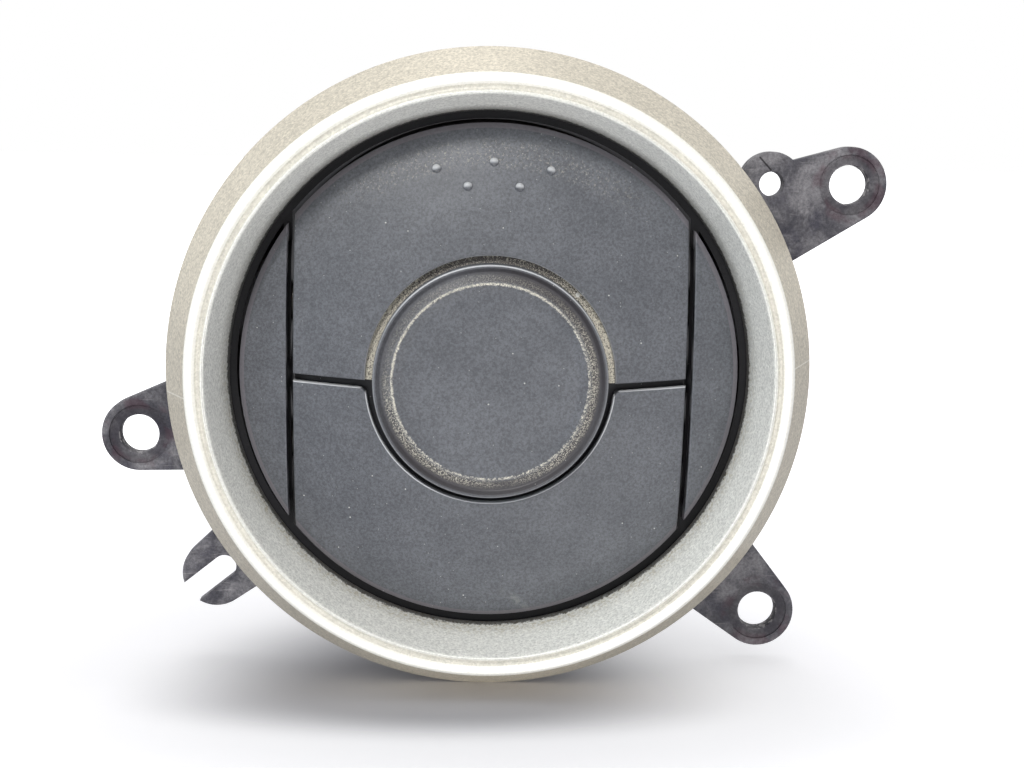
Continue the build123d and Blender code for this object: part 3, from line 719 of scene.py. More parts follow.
def washer_marks(plastic, colour, near):
    """A dark ring where the washer sat, and a reddish halo round it."""
    washer = band(near, SCREW_HOLE_R, SPOT_FACE_R, 0.7)
    halo = band(near, 4.4, 6.2, 0.5) * rise(noise(plastic.place, 0.3, 2), 0.45, 0.6)
    return layered(colour, (washer * 0.5, tint(38, 34, 40)), (halo * 0.45, tint(70, 44, 54)))


plastic = Finish("black_plastic", IOR=1.5, Specular_IOR_Level=0.2)
fine = noise(plastic.place, 2.0, 4, 0.75)
bloom = noise(plastic.place, 0.16, 4, 0.65, 0.4)
near = nearest_hole(plastic)
colour = washer_marks(plastic, mottled_black(plastic, fine, bloom), near)
print(plastic)

# %% Scratches, burrs and a crack
def to_line(finish, start, end):
    """Distance from a short straight line between two points (x, z)."""
    run = Vector(end) - Vector(start)
    along = ((finish.x - start[0]) * run.x + (finish.z - start[1]) * run.y) / run.length_squared
    along = along.node("ShaderNodeClamp", None, {0: along})
    off_x = finish.x - start[0] - along * run.x
    off_z = finish.z - start[1] - along * run.y
    return (off_x * off_x + off_z * off_z) ** 0.5


def scratched(plastic, colour, near):
    """Fine pale streaks in three directions, burrs on the holes and a crack. Returns also the scratches."""
    place, scratch = plastic.place, 0.0
    for turn, size in ((0.4, 1.0), (1.3, 1.4), (2.5, 0.8)):
        streak = noise(stretched(place, (0, turn, 0), (0.12 * size, 0.5, 2.6 * size)), 1.0, 3, 0.6)
        scratch = rise(streak, 0.66, 0.72) + scratch
    scratch = scratch * rise(near, 5.4, 6.4)
    burr = band(near, SCREW_HOLE_R - 0.1, SCREW_HOLE_R + 0.16, 0.05) * rise(noise(place, 1.1, 3), 0.5, 0.6)
    crack = 1 - rise(to_line(plastic, (44.1, 35.0), (46.0, 33.0)), 0.08, 0.2)
    marks = maximum(scratch * 0.22, burr * 0.45)
    return layered(colour, (marks, tint(190, 186, 186)), (crack * 0.85, tint(22, 20, 24))), scratch


colour, scratch = scratched(plastic, colour, near)
# painted shade: inside the mouth, behind the face, the plastic is painted nearly black
inside = 1 - rise(plastic.radius, 41.9, 42.1)
mouth = inside * (1 - rise(plastic.depth, 12, 14))
colour = blend(maximum(inside * 0.6, mouth * 0.95), colour, tint(10, 10, 13))
plastic.feed(Base_Color=colour, Roughness=0.36 + 0.2 * fine + 0.12 * bloom)
plastic.relief(fine + 0.4 * scratch, 0.03)
finishes["black_plastic"] = plastic.material
print(plastic)

# %% [markdown]
# ## The small parts' finishes
# Bushes, cranks and link are natural acetal, waxy and slightly yellow, and painted nearly black as shade
# where they show in the side gaps. The duct seal is open-cell foam, the friction ring is pressed felt, and
# the screws are zinc plated. Each is one noise or two at the right scale.

# %% Acetal and foam
def acetal():
    waxy = Finish("acetal", IOR=1.48, Subsurface_Weight=0.15, Subsurface_Scale=0.002)
    cloud = noise(waxy.place, 0.5, 3)
    fine = noise(waxy.place, 5.0, 3)
    colour = blend(cloud, tint(226, 222, 208), tint(208, 200, 180))
    # painted shade: where bushes and cranks show in the side gaps they are painted nearly black
    side_gap_shade = band(abs(waxy.x), HALF_WIDTH - 0.6, HALF_WIDTH + GAP + 0.6, 0.3)
    waxy.feed(Base_Color=blend(side_gap_shade * 0.95, colour, tint(24, 23, 25)), Roughness=0.3 + 0.15 * fine)
    waxy.relief(fine, 0.01)
    return waxy.material


def foam():
    sponge = Finish("foam")
    pores = cells(sponge.place, 1.3)
    soft = noise(sponge.place, 0.25, 3)
    shade = blend(rise(pores, 0.1, 0.55), tint(34, 34, 36), tint(78, 78, 80))
    sponge.feed(Base_Color=toned(shade, 0.75 + 0.5 * soft), Roughness=0.85 + 0.1 * soft)
    sponge.relief(pores, 0.35)
    return sponge.material


for make in (acetal, foam):
    finishes[make.__name__] = make()
print("finishes:", sorted(finishes))

# %% Felt and zinc
def felt():
    wool = Finish("felt")
    fibres = noise(stretched(wool.place, (0, 0.7, 0), (1, 1, 4)), 1.6, 4, 0.8, 1.5)
    wool.feed(Base_Color=blend(fibres, tint(58, 56, 54), tint(112, 108, 102)), Roughness=0.85 + 0.1 * fibres)
    wool.relief(fibres, 0.2)
    return wool.material


def zinc_steel():
    zinc = Finish("zinc_steel", Metallic=1.0)
    spangle = random_shade(zinc.place, 0.9)
    fine = noise(zinc.place, 4.0, 3)
    zinc.feed(
        Base_Color=toned(blend(spangle, tint(186, 190, 196), tint(204, 206, 206)), 0.85 + 0.2 * fine),
        Roughness=0.28 + 0.16 * fine + 0.08 * spangle,
    )
    return zinc.material


for make in (felt, zinc_steel):
    finishes[make.__name__] = make()
print("finishes:", sorted(finishes))

# %% [markdown]
# ## The bezel ring
# The bezel is one moulding: a conical flange, a round bead, a fine groove with a thin crest beside it, and
# a wall that tapers in towards the face. Its section says it all, so it is drawn once and turned.

# %% Turn the bezel
FLANGE_REAR = 8.9
bezel_section = rounded(
    [
        (51.5, FLANGE_REAR, 0.35), (CONE_R, 0.0, 0.1), (46.6, -0.42, 0.6), (45.8, -0.42, 0.6),
        (BEAD_R, 0.0, 0.05), (45.1, 0.35, 0.25), (44.8, 0.35, 0.25), (CREST_R, 0.0, 0.05), (44.3, -0.5, 0.2),
        (44.0, -0.5, 0.2), (43.8, 0.0, 0.3), (41.45, HOUSING_FRONT, 0.2), (43.15, HOUSING_FRONT, 0.2),
        (45.0, 2.2, 0.3), (45.9, 2.2, 0.3), (49.3, FLANGE_REAR, 0.2),
    ]
)
bezel = turned("bezel", bezel_section, finishes["bezel_paint"])
fitted(bezel, "fixed_housing", "bezel_paint", "bezel_ring")

# %% [markdown]
# ## Snap arms
# Four arms behind the flange hook into windows of the housing and hold the trim ring on. They are all
# alike, so one arm is made and a Geometry Nodes tree sets the copies round the axis. The same tree later
# places screws. The hook's rear side slopes, so that the arm rides over the housing's edge when the ring is
# pushed on.

# %% A tree that sets copies round the axis
def circle_tree():
    sockets = [("Piece", "Geometry"), ("Count", "Int"), ("Start angle", "Float"), ("Finish", "Material")]
    tree, (piece, count, start, finish) = new_tree("copies_round_axis", sockets)
    points = count.node("GeometryNodePoints", None, {"Count": count})
    index = count.node("GeometryNodeInputIndex")
    angle = -1 * (start + 2 * math.pi * index / count)
    turn = angle.node("ShaderNodeCombineXYZ", None, {"Y": angle})
    placing = {"Points": points, "Instance": piece, "Rotation": turn}
    end_tree(piece.node("GeometryNodeInstanceOnPoints", None, placing), finish)
    return tree


copies_round_axis = circle_tree()


def round_axis(piece, count, start, finish):
    """Replace a piece with copies of it, evenly spaced about the axis from a first angle in degrees."""
    name, mesh = piece.name, piece.data
    bpy.data.objects.remove(piece)
    inputs = {"Count": count, "Start angle": math.radians(start), "Finish": finish}
    return grown(name, mesh, copies_round_axis, inputs)


print("copies tree has", len(copies_round_axis.nodes), "nodes")

# %% The snap arms
ARM_HALF_ANGLE = 7.66
arm_section = rounded(
    [
        (44.6, 1.9, 0), (46.1, 1.9, 0), (46.1, 17.2, 0.4), (44.6, 17.2, 0.2), (43.1, 14.2, 0.15),
        (44.6, 14.2, 0.2),
    ]
)
arm_span = (-ARM_HALF_ANGLE, ARM_HALF_ANGLE)
arm = lathed("snap_arms", arm_section, finishes["bezel_paint"], steps=24, span=arm_span)
arms = round_axis(arm, 4, 45, finishes["bezel_paint"])
fitted(arms, "fixed_housing", "bezel_paint", "bezel_ring")

# %% [markdown]
# ## Plates cut from flat shapes
# The blades, cheeks and lugs are plates: flat outlines with a shaped front. One Delaunay triangulation
# holds all outlines at once, each triangle is kept or dropped by the shapes that it lies in, and then every
# point gets its depth from a rule. That gives clean edges and exact roundings, with no boolean to clean up
# after.

# %% Helpers for flat outlines
def arc(radius, first, last, x=0.0, z=0.0, pitch=0.6):
    """Points along an arc, angles in degrees."""
    count = max(2, math.ceil(abs(math.radians(last - first)) * radius / pitch) + 1)
    angles = np.radians(np.linspace(first, last, count))
    return [(x + radius * math.cos(a), z + radius * math.sin(a)) for a in angles]


def disc(radius, x=0.0, z=0.0, pitch=0.6):
    return arc(radius, 0, 360, x, z, pitch)[:-1]


def divided(points, pitch=1.5):
    """A closed outline whose long sides are cut into shorter ones."""
    out = []
    for (x0, z0), (x1, z1) in zip(points, points[1:] + points[:1]):
        count = max(1, math.ceil(math.hypot(x1 - x0, z1 - z0) / pitch))
        out += [(x0 + (x1 - x0) * k / count, z0 + (z1 - z0) * k / count) for k in range(count)]
    return out


def moved_in(points, distance):
    """A closed outline, drawn anticlockwise, with every side moved inwards."""
    out = []
    for i, here in enumerate(points):
        before, here, after = (Vector(p) for p in (points[i - 1], here, points[(i + 1) % len(points)]))
        a, b = (here - before).normalized(), (after - here).normalized()
        normal = Vector((-a.y - b.y, a.x + b.x)).normalized()
        spread = max(0.3, normal.dot(Vector((-a.y, a.x))))
        out.append(tuple(here + normal * distance / spread))
    return out


print("a disc of 10 mm radius has", len(disc(10)), "points")

# %% Triangulate the outlines
EDGE_ANGLES = (22.5, 45, 67.5, 90)
ROW_RATIO = 0.866


def triangulated(shapes, keep, guides, edge, pitch):
    """The points and triangles of labelled outlines, as far as keep says yes to the labels they lie in.
    Each outline is drawn again a few times further in, where its rounded edge will bend, and a loose grid
    fills the rest."""
    points, edges, faces, labels = [], [], [], []

    def draw(outline, label=None):
        start, count = len(points), len(outline)
        points.extend(outline)
        edges.extend((start + i, start + (i + 1) % count) for i in range(count))
        if label:
            faces.append(list(range(start, start + count)))
            labels.append(label)

    for label, outline in shapes:
        draw(outline, label)
        if edge:
            for angle in EDGE_ANGLES:
                draw(moved_in(outline, edge * (1 - math.cos(math.radians(angle)))))
            draw(moved_in(outline, edge * 1.3))
    for outline in guides:
        draw(outline)
    flat = np.array(points)
    low, high = flat.min(0), flat.max(0)
    for row, z in enumerate(np.arange(low[1] + pitch / 2, high[1], pitch * ROW_RATIO)):
        points.extend((x, z) for x in np.arange(low[0] + pitch / 2 * (row % 2), high[0], pitch))
    result = delaunay_2d_cdt([Vector(p) for p in points], edges, faces, 0, 1e-5, True)
    triangles = [tri for tri, ids in zip(result[2], result[5]) if keep({labels[i] for i in ids})]
    used = sorted({v for tri in triangles for v in tri})
    number = {v: i for i, v in enumerate(used)}
    return np.array([result[0][v][:] for v in used]), [[number[v] for v in tri] for tri in triangles]


def rim_of(triangles):
    """The sides that belong to one triangle alone."""
    sides = {}
    for tri in triangles:
        for a, b in zip(tri, tri[1:] + tri[:1]):
            if not sides.pop((b, a), False):
                sides[(a, b)] = True
    return list(sides)


print("two triangles that share a side have a rim of", len(rim_of([[0, 1, 2], [0, 2, 3]])), "sides")

# %% Round the front edge and close the plate
def rolled_back(xz, depth, rim, edge, soft):
    """The front's depth, moved back near the soft sides of the rim as on a circle of radius edge."""
    ends = np.array([[xz[a], xz[b]] for a, b in rim])
    middles = ends.mean(1)
    if soft:
        ends = ends[soft(middles[:, 0], middles[:, 1])]
    nearest = np.full(len(xz), 1e9)
    for start, end in ends:
        along = end - start
        t = np.clip(((xz - start) @ along) / (along @ along), 0, 1)
        nearest = np.minimum(nearest, np.hypot(*(xz - start - t[:, None] * along).T))
    inside = np.clip(edge - nearest, 0, edge)
    return depth + edge - np.sqrt(edge**2 - inside**2)


def plate_piece(
    name, shapes, keep, front, behind, finish, guides=(), edge=0.25, soft=None, pitch=2.0, place=None
):
    """A closed plate. shapes are labelled outlines, keep says which of their overlaps stay, front and
    behind give the depths at points (x, z), and edge is the radius that rounds the front along its soft
    sides."""
    xz, triangles = triangulated(shapes, keep, guides, edge, pitch)
    rim = rim_of(triangles)
    depth, rear = (rule(xz[:, 0], xz[:, 1]) for rule in (front, behind))
    if edge:
        depth = rolled_back(xz, depth, rim, edge, soft)
    count = len(xz)
    place = place or (lambda u, v, w: (u, w - SHOULDER, v))
    verts = [place(u, v, w) for side in (depth, rear) for (u, v), w in zip(xz, side)]
    polygons = triangles + [[v + count for v in reversed(tri)] for tri in triangles]
    polygons += [(b, a, a + count, b + count) for a, b in rim]
    return solid(name, verts, polygons, finish)


print("a rounded edge bends at", EDGE_ANGLES, "degrees")

# %% [markdown]
# ## The domed face
# Closed, the two blades and the two cheeks make one shallow dome. They share its rule, so every blade
# follows the same ball, and only the outlines and the boss tell them apart.

# %% The dome's rule and the outlines
def dome(radius, inset=0.0):
    return DOME_APEX + DOME_R - np.sqrt((DOME_R - inset) ** 2 - radius**2)


def face_front(x, z):
    r = np.hypot(x, z)
    edge_r = FACE_R - CHAMFER
    return np.where(r <= edge_r, dome(np.minimum(r, edge_r)), dome(edge_r) + r - edge_r)


def face_behind(x, z):
    r = np.hypot(x, z)
    return np.where(r < FACE_R - RIM_WALL - STEP / 2, dome(r, SHELL), RIM_DEPTH)


def split_line(offset):
    middle = SPLIT_Z + offset
    ends = middle + SPLIT_RISE
    return [(-HALF_WIDTH, ends), (-BOSS_R, middle), (BOSS_R, middle), (HALF_WIDTH, ends)]


face_rings = [disc(FACE_R - CHAMFER), disc(FACE_R - RIM_WALL), disc(FACE_R - RIM_WALL - STEP)]


def along_gap(x, z):
    return np.hypot(x, z) < FACE_R - 0.1


print("the dome rises", round(float(dome(FACE_R - CHAMFER) - dome(0.0)), 2), "mm")

# %% [markdown]
# ## The cheeks
# Left and right of the blades, two fixed segments complete the round face. Each has a leg behind it with a
# bead that snaps into the barrel. The segment is the same plate as the blades with another outline, and the
# leg is a turned section over a short angle, because it follows the barrel's wall.

# %% The cheeks
cheek_edge = HALF_WIDTH + GAP
LEG_HALF_ANGLE = 7.0
leg_section = rounded(
    [
        (38.1, 10.7, 0), (39.7, 10.7, 0), (39.7, 17.5, 0.3), (40.1, 18.25, 0.2), (39.7, 19.0, 0.3),
        (38.1, 19.0, 0.2),
    ]
)
for side, name, middle_angle in ((-1, "left", 180), (1, "right", 0)):
    corners = ((cheek_edge, -45), (45, -45), (45, 45), (cheek_edge, 45))
    shapes = [("face", disc(FACE_R)), ("side", divided([(side * a, b) for a, b in corners][::side]))]
    skin = plate_piece(
        name + "_cheek_skin", shapes, lambda s: {"face", "side"} <= s, face_front, face_behind,
        finishes["face_satin"], face_rings, soft=along_gap,
    )
    span = (middle_angle - LEG_HALF_ANGLE, middle_angle + LEG_HALF_ANGLE)
    leg = lathed(name + "_cheek_leg", leg_section, finishes["face_satin"], steps=20, span=span)
    for piece in (skin, leg):
        fitted(piece, "turning_barrel", "face_satin", name + "_cheek")

# %% [markdown]
# ## Ears and pivot pins
# Each blade turns on two ears behind it, with pins that run in bushes. They show when the vent is open, so
# they are real shapes here as well: the ear is a plate seen from the side, the pin a turned rod with broken
# edges.

# %% Ears and pins behind a blade
EAR_X, EAR_WALL, EAR_R, EAR_FOOT = 30.7, 1.5, 3.4, 7.0
PIN_ENDS = {-1: 34.4, 1: 33.2}


def ears_and_pins(blade, body, z):
    foot = [(float(dome(math.hypot(30, z + k), 1.0)), z + k) for k in np.linspace(-EAR_FOOT, EAR_FOOT, 9)]
    outline = foot + [(PIVOT_DEPTH - b, z - a) for a, b in arc(EAR_R, 180, 360, pitch=0.4)]
    for side, name in ((-1, "left"), (1, "right")):
        ear = plate_piece(
            f"{blade}_{name}_ear", [("ear", divided(outline[::-1], 1.0))], lambda s: "ear" in s,
            lambda u, v: 0 * u, lambda u, v: 0 * u + EAR_WALL, finishes["face_satin"], edge=0.25, pitch=1.5,
            place=lambda u, v, w, side=side: (side * (EAR_X - EAR_WALL + w), u - SHOULDER, v),
        )
        reach = PIN_ENDS[side]
        section = rounded([(0, EAR_X - 1, 0), (PIVOT_R, EAR_X - 1, 0), (PIVOT_R, reach, 0.25), (0, reach, 0)])
        pin = lathed(
            f"{blade}_{name}_pin", section, finishes["face_satin"], steps=40,
            place=lambda u, w, v, side=side: (side * w, PIVOT_DEPTH + u - SHOULDER, z + v),
        )
        for piece in (ear, pin):
            fitted(piece, body, "face_satin", blade)


print("ears reach", EAR_X, "mm from the middle")

# %% [markdown]
# ## The lower blade
# The lower blade has a half-round cut-out that clears the boss, with small rounded horns where the cut-out
# meets the split. Each horn is an arc that touches both the split line and the cut-out, so its middle is
# worked out from the two, and the outline has no corner left to catch the light wrongly.

# %% The lower blade
HORN_R = 1.4
cut_r = BOSS_R + GAP
middle = SPLIT_Z - GAP / 2
horn_z = middle - HORN_R
horn_x = math.sqrt((cut_r + HORN_R) ** 2 - horn_z**2)
touch = math.degrees(math.atan2(-horn_z, horn_x))
outline = [(-HALF_WIDTH, -45), (HALF_WIDTH, -45), (HALF_WIDTH, middle + SPLIT_RISE)]
outline += arc(HORN_R, 90, 180 - touch, horn_x, horn_z, 0.15)
outline += arc(cut_r, -touch, touch - 180)
outline += arc(HORN_R, touch, 90, -horn_x, horn_z, 0.15)
outline += [(-HALF_WIDTH, middle + SPLIT_RISE)]
blade_area = divided(outline)
lower = plate_piece(
    "lower_blade_skin", [("face", disc(FACE_R)), ("area", blade_area)], lambda s: {"face", "area"} <= s,
    face_front, face_behind, finishes["face_satin"], face_rings, soft=along_gap,
)
fitted(lower, "lower_flap", "face_satin", "lower_blade")
ears_and_pins("lower_blade", "lower_flap", -PIVOT_Z)

# %% [markdown]
# ## The seal lip
# A lip on the lower blade reaches up behind the split and the boss, so that closed blades leak no air and
# no light shows in the gap. It is what lies between two outlines, one moved up and one moved down, and a
# deeper root joins it to the blade.

# %% The seal lip behind the gap
LIP_REACH, LIP_ROOT, LIP_FRONT, LIP_REAR = 2.2, 2.0, 2.5, 3.7


def below_split(offset):
    """The blades' area below the split line, moved up by an offset."""
    return divided(split_line(offset)[::-1] + [(-HALF_WIDTH, -42), (HALF_WIDTH, -42)])


lip_shapes = [
    ("wide", below_split(LIP_REACH - GAP / 2)),
    ("narrow", below_split(-GAP / 2 - LIP_ROOT)),
    ("small", disc(cut_r - LIP_REACH)),
    ("large", disc(cut_r + LIP_ROOT)),
]


def is_lip(s):
    return "wide" in s and "small" not in s and not ("narrow" in s and "large" not in s)


lip = plate_piece(
    "lower_blade_lip", lip_shapes, is_lip, lambda x, z: dome(np.hypot(x, z), LIP_FRONT),
    lambda x, z: dome(np.hypot(x, z), LIP_REAR), finishes["face_satin"], edge=0,
)
root = plate_piece(
    "lower_blade_root", lip_shapes + [("area", blade_area)], lambda s: is_lip(s) and "area" in s,
    lambda x, z: dome(np.hypot(x, z), 1.0), lambda x, z: dome(np.hypot(x, z), LIP_REAR - 0.05),
    finishes["face_satin"], edge=0,
)
for piece in (lip, root):
    fitted(piece, "lower_flap", "face_satin", "lower_blade")

# %% [markdown]
# ## The upper blade
# The upper blade carries the boss: a dished disc, a trough, a rolled rim and a wall that drops into a
# recess. They are all round the same axis, so the blade's front takes its depth from one section by radius,
# and the boss hangs over the lower blade, because its whole disc belongs to this outline.

# %% The upper blade with its boss
DISC_DEPTH, TROUGH_EDGE, TROUGH_DEPTH, BRIM_DEPTH = 1.4775, 1.0275, 1.62, 0.8475
BOSS_WALL, RECESS_DROP = 1.7, 1.2


def dome_at(radius):
    return float(dome(radius))


boss_section = rounded(
    [
        (0, DISC_DEPTH, 0), (13.7, DISC_DEPTH, 3.0), (15.3, TROUGH_EDGE, 0.12), (17.1, TROUGH_DEPTH, 0.5),
        (17.8, BRIM_DEPTH, 0.2), (BOSS_R, BRIM_DEPTH, 0.4),
        (BOSS_R + STEP, dome_at(BOSS_R) + RECESS_DROP, 0.15),
        (RECESS_R, dome_at(RECESS_R) + RECESS_DROP, 0.15), (RECESS_R + STEP, dome_at(RECESS_R), 0.25),
        (RECESS_R + 1, dome_at(RECESS_R + 1), 0),
    ],
    closed=False,
)
boss_r, boss_depth = np.array(boss_section).T
print("boss section radii rise:", bool((np.diff(boss_r) >= 0).all()))


def upper_front(x, z):
    r = np.hypot(x, z)
    shaped = np.interp(r, boss_r, boss_depth)
    return np.where(r < boss_r[-1] - 0.001, shaped, face_front(x, z))


def upper_behind(x, z):
    r = np.hypot(x, z)
    hollow = np.where(r < BOSS_R - BOSS_WALL - STEP / 2, DISC_DEPTH + BOSS_WALL, dome_at(BOSS_R) + SHELL)
    return np.where(r < BOSS_R + STEP / 2, hollow, face_behind(x, z))


def upper_soft(x, z):
    r = np.hypot(x, z)
    return (r < FACE_R - 0.1) & (r > RECESS_R)


upper_shapes = [
    ("face", disc(FACE_R)),
    ("boss", disc(BOSS_R)),
    ("area", divided(split_line(GAP / 2) + [(HALF_WIDTH, 45), (-HALF_WIDTH, 45)])),
]
hollow_r = BOSS_R - BOSS_WALL
rings = face_rings + [disc(r) for r in boss_r[1:]] + [disc(r) for r in (hollow_r, hollow_r - STEP, 5, 9)]
upper = plate_piece(
    "upper_blade_skin", upper_shapes, lambda s: {"face", "area"} <= s or "boss" in s,
    upper_front, upper_behind, finishes["face_satin"], rings, soft=upper_soft,
)
fitted(upper, "upper_flap", "face_satin", "upper_blade")
ears_and_pins("upper_blade", "upper_flap", PIVOT_Z)

# %% [markdown]
# ## The five pips
# Five small domes at the top of the face show where to press. They stand on two arcs by turns, all at one
# pitch angle, which is a rule that a few field sums in a Geometry Nodes tree can follow.

# %% Pips on two arcs
PIP_BALL, PIP_SUNK = 0.85, 0.4


def pip_tree():
    sockets = [
        ("Pip", "Geometry"), ("Count", "Int"), ("Pitch angle", "Float"), ("Outer radius", "Float"),
        ("Inner radius", "Float"), ("Finish", "Material"),
    ]
    tree, (pip, count, pitch, outer, inner, finish) = new_tree("pips_on_two_arcs", sockets)
    index = count.node("GeometryNodeInputIndex")
    angle = math.pi / 2 + pitch * (index - (count - 1) / 2)
    radius = outer - (outer - inner) * index.maths("MODULO", index, 2)
    x, z = radius * angle.maths("COSINE", angle), radius * angle.maths("SINE", angle)
    depth = DOME_APEX + DOME_R + PIP_SUNK - (DOME_R**2 - radius * radius) ** 0.5
    across, y, height = x * MM, (depth - SHOULDER) * MM, z * MM
    spot = x.node("ShaderNodeCombineXYZ", None, {"X": across, "Y": y, "Z": height})
    points = count.node("GeometryNodePoints", None, {"Count": count, "Position": spot})
    end_tree(pip.node("GeometryNodeInstanceOnPoints", None, {"Points": points, "Instance": pip}), finish)
    return tree


half_turn = np.radians(np.linspace(-90, 90, 13))
pip_section = [(PIP_BALL * math.cos(a), PIP_BALL * math.sin(a)) for a in half_turn]
one_pip = lathed("pips", pip_section, finishes["face_satin"], steps=28, place=lambda x, y, z: (x, y, z))
pip_mesh = one_pip.data
bpy.data.objects.remove(one_pip)
pip_sizes = {
    "Count": 5, "Pitch angle": math.radians(7.6), "Outer radius": 33.6, "Inner radius": 30.1,
    "Finish": finishes["face_satin"],
}
pips = grown("pips", pip_mesh, pip_tree(), pip_sizes)
fitted(pips, "upper_flap", "face_satin", "upper_blade")

# %% [markdown]
# ## The housing
# Behind the trim a black tube holds everything. It is turned from its section, with an inner ledge for the
# felt ring, and four windows for the snap hooks are cut by a boolean, because they pass straight through
# one wall.

# %% The tube and its windows
WINDOW_HALF, WINDOW_FRONT, WINDOW_REAR = 6.3, 13.9, 17.5
HOUSING_BORE_R, LEDGE_R, LEDGE_DEPTH = 42.3, 39.6, 31.05
tube_section = rounded(
    [
        (HOUSING_BORE_R, HOUSING_FRONT, 0.2), (HOUSING_R, HOUSING_FRONT, 0.3), (HOUSING_R, HOUSING_REAR, 0.2),
        (LEDGE_R, HOUSING_REAR, 0.2), (LEDGE_R, LEDGE_DEPTH, 0.2), (HOUSING_BORE_R, LEDGE_DEPTH, 0.1),
    ]
)
tube = turned("housing_tube", tube_section, finishes["black_plastic"], 192)
for angle in (45, 135):
    verts = []
    for reach in (-60, 60):
        for across in (-WINDOW_HALF, WINDOW_HALF):
            for depth in (WINDOW_FRONT, WINDOW_REAR):
                along, beside = polar(reach, angle), polar(across, angle + 90)
                verts.append((along[0] + beside[0], depth - SHOULDER, along[1] + beside[1]))
    sides = [(0, 1, 3, 2), (4, 6, 7, 5), (0, 4, 5, 1), (2, 3, 7, 6), (0, 2, 6, 4), (1, 5, 7, 3)]
    cutter = solid("cutter", verts, sides, finishes["black_plastic"])
    cut = tube.modifiers.new("windows", "BOOLEAN")
    cut.object, cut.operation, cut.solver = cutter, "DIFFERENCE", "EXACT"
    cut_mesh = bpy.data.meshes.new_from_object(tube.evaluated_get(bpy.context.evaluated_depsgraph_get()))
    tube.modifiers.remove(cut)
    tube.data = cut_mesh
    bpy.data.objects.remove(cutter)
outward(tube.data)
tube.data.shade_smooth()
tube.data.set_sharp_from_angle(angle=SHARP_ANGLE)
fitted(tube, "fixed_housing", "black_plastic", "housing")

# %% [markdown]
# ## The lugs
# One flat plate round the housing carries three screw lugs, a small ear with a locating hole, and an open
# fork. Each arm is a round end with two straight edges, as measured in the photograph, and all holes lie in
# the same triangulation as the outline. Round the screw holes the plate is faced a little lower for the
# washers.

# %% The outlines of the lugs
LUG_END_R, LUG_LENGTH, RING_WIDTH = 6.25, 27.0, 2.5
FORK_ANGLE, FORK_REACH, FORK_END_R, SLOT_R, SLOT_DEPTH = 218.9, 14.5, 5.7, 2.0, 1.8
EAR_REACH, EAR_ANGLE, EAR_END_R = 11.17, 33.6, 5.3
SPOT_DEPTH = 0.3


def lug_arm(reach, angle, spread_a, spread_b, end_r=LUG_END_R):
    """The anticlockwise outline of an arm with a round end and two straight edges."""
    x, z = polar(HOUSING_R + reach, angle)
    edge_a, edge_b = angle + 180 + spread_a, angle + 180 - spread_b
    near_b, near_a = polar(LUG_LENGTH, edge_b), polar(LUG_LENGTH, edge_a)
    start, end = polar(end_r, edge_a + 90), polar(end_r, edge_b - 90)
    first, last = edge_a + 90 - 360, edge_b - 90
    points = [(x + start[0] + near_a[0], z + start[1] + near_a[1])]
    points += arc(end_r, first, last, x, z) if last > first else arc(end_r, first - 360, last, x, z)
    points += [(x + end[0] + near_b[0], z + end[1] + near_b[1])]
    return points


def anticlockwise(points):
    twice = sum(x0 * z1 - x1 * z0 for (x0, z0), (x1, z1) in zip(points, points[1:] + points[:1]))
    return points if twice > 0 else points[::-1]


print("outlines of", {name: len(lug_arm(*values)) for name, values in LUGS.items()}, "points")

# %% The lug plate
lug_shapes = [("ring", disc(HOUSING_R + RING_WIDTH)), ("bore", disc(HOUSING_R - 1))]
lug_guides = []
for values, (x, z) in zip(LUGS.values(), screw_holes):
    lug_shapes.append(("arm", divided(anticlockwise(lug_arm(*values)))))
    lug_shapes.append(("hole", disc(SCREW_HOLE_R, x, z)))
    radii = (SPOT_FACE_R, SPOT_FACE_R - STEP, SCREW_HOLE_R + 0.1, SCREW_HOLE_R + 0.3)
    lug_guides += [disc(r, x, z) for r in radii]
locating = polar(HOUSING_R + EAR_REACH, EAR_ANGLE)
lug_shapes.append(("arm", disc(EAR_END_R, *locating)))
lug_shapes.append(("hole", disc(LOCATING_R, *locating, pitch=0.4)))
lug_guides += [disc(LOCATING_R + r, *locating, pitch=0.4) for r in (0.1, 0.3)]
lug_shapes.append(("arm", divided(anticlockwise(lug_arm(FORK_REACH, FORK_ANGLE, 5, 5, FORK_END_R)))))
slot_x, slot_z = polar(HOUSING_R + FORK_REACH - SLOT_DEPTH, FORK_ANGLE)
out = polar(12, FORK_ANGLE)
slot = arc(SLOT_R, FORK_ANGLE + 90, FORK_ANGLE + 270, slot_x, slot_z, 0.4)
slot += [(slot[-1][0] + out[0], slot[-1][1] + out[1]), (slot[0][0] + out[0], slot[0][1] + out[1])]
lug_shapes.append(("hole", divided(anticlockwise(slot))))


def lug_front(x, z):
    """The plate's front, a little lower on the spot faces."""
    depth = 0 * x + LUG_DEPTH
    for hole_x, hole_z in screw_holes:
        faced = np.hypot(x - hole_x, z - hole_z) < SPOT_FACE_R - STEP / 2
        depth = np.where(faced, LUG_DEPTH + SPOT_DEPTH, depth)
    return depth


lugs = plate_piece(
    "lug_plate", lug_shapes, lambda s: bool({"ring", "arm"} & s) and not ({"bore", "hole"} & s), lug_front,
    lambda x, z: 0 * x + LUG_DEPTH + LUG_WALL, finishes["black_plastic"], lug_guides, edge=0.3,
    soft=lambda x, z: np.hypot(x, z) > HOUSING_R,
)
fitted(lugs, "fixed_housing", "black_plastic", "housing")

# %% [markdown]
# ## Gussets
# Behind each lug a thin triangular rib runs back to the tube and keeps the lug from bending. It is drawn as
# a plate seen from the side and then stood on edge at the lug's own angle, by a rule that turns (along,
# depth, thickness) into a place.

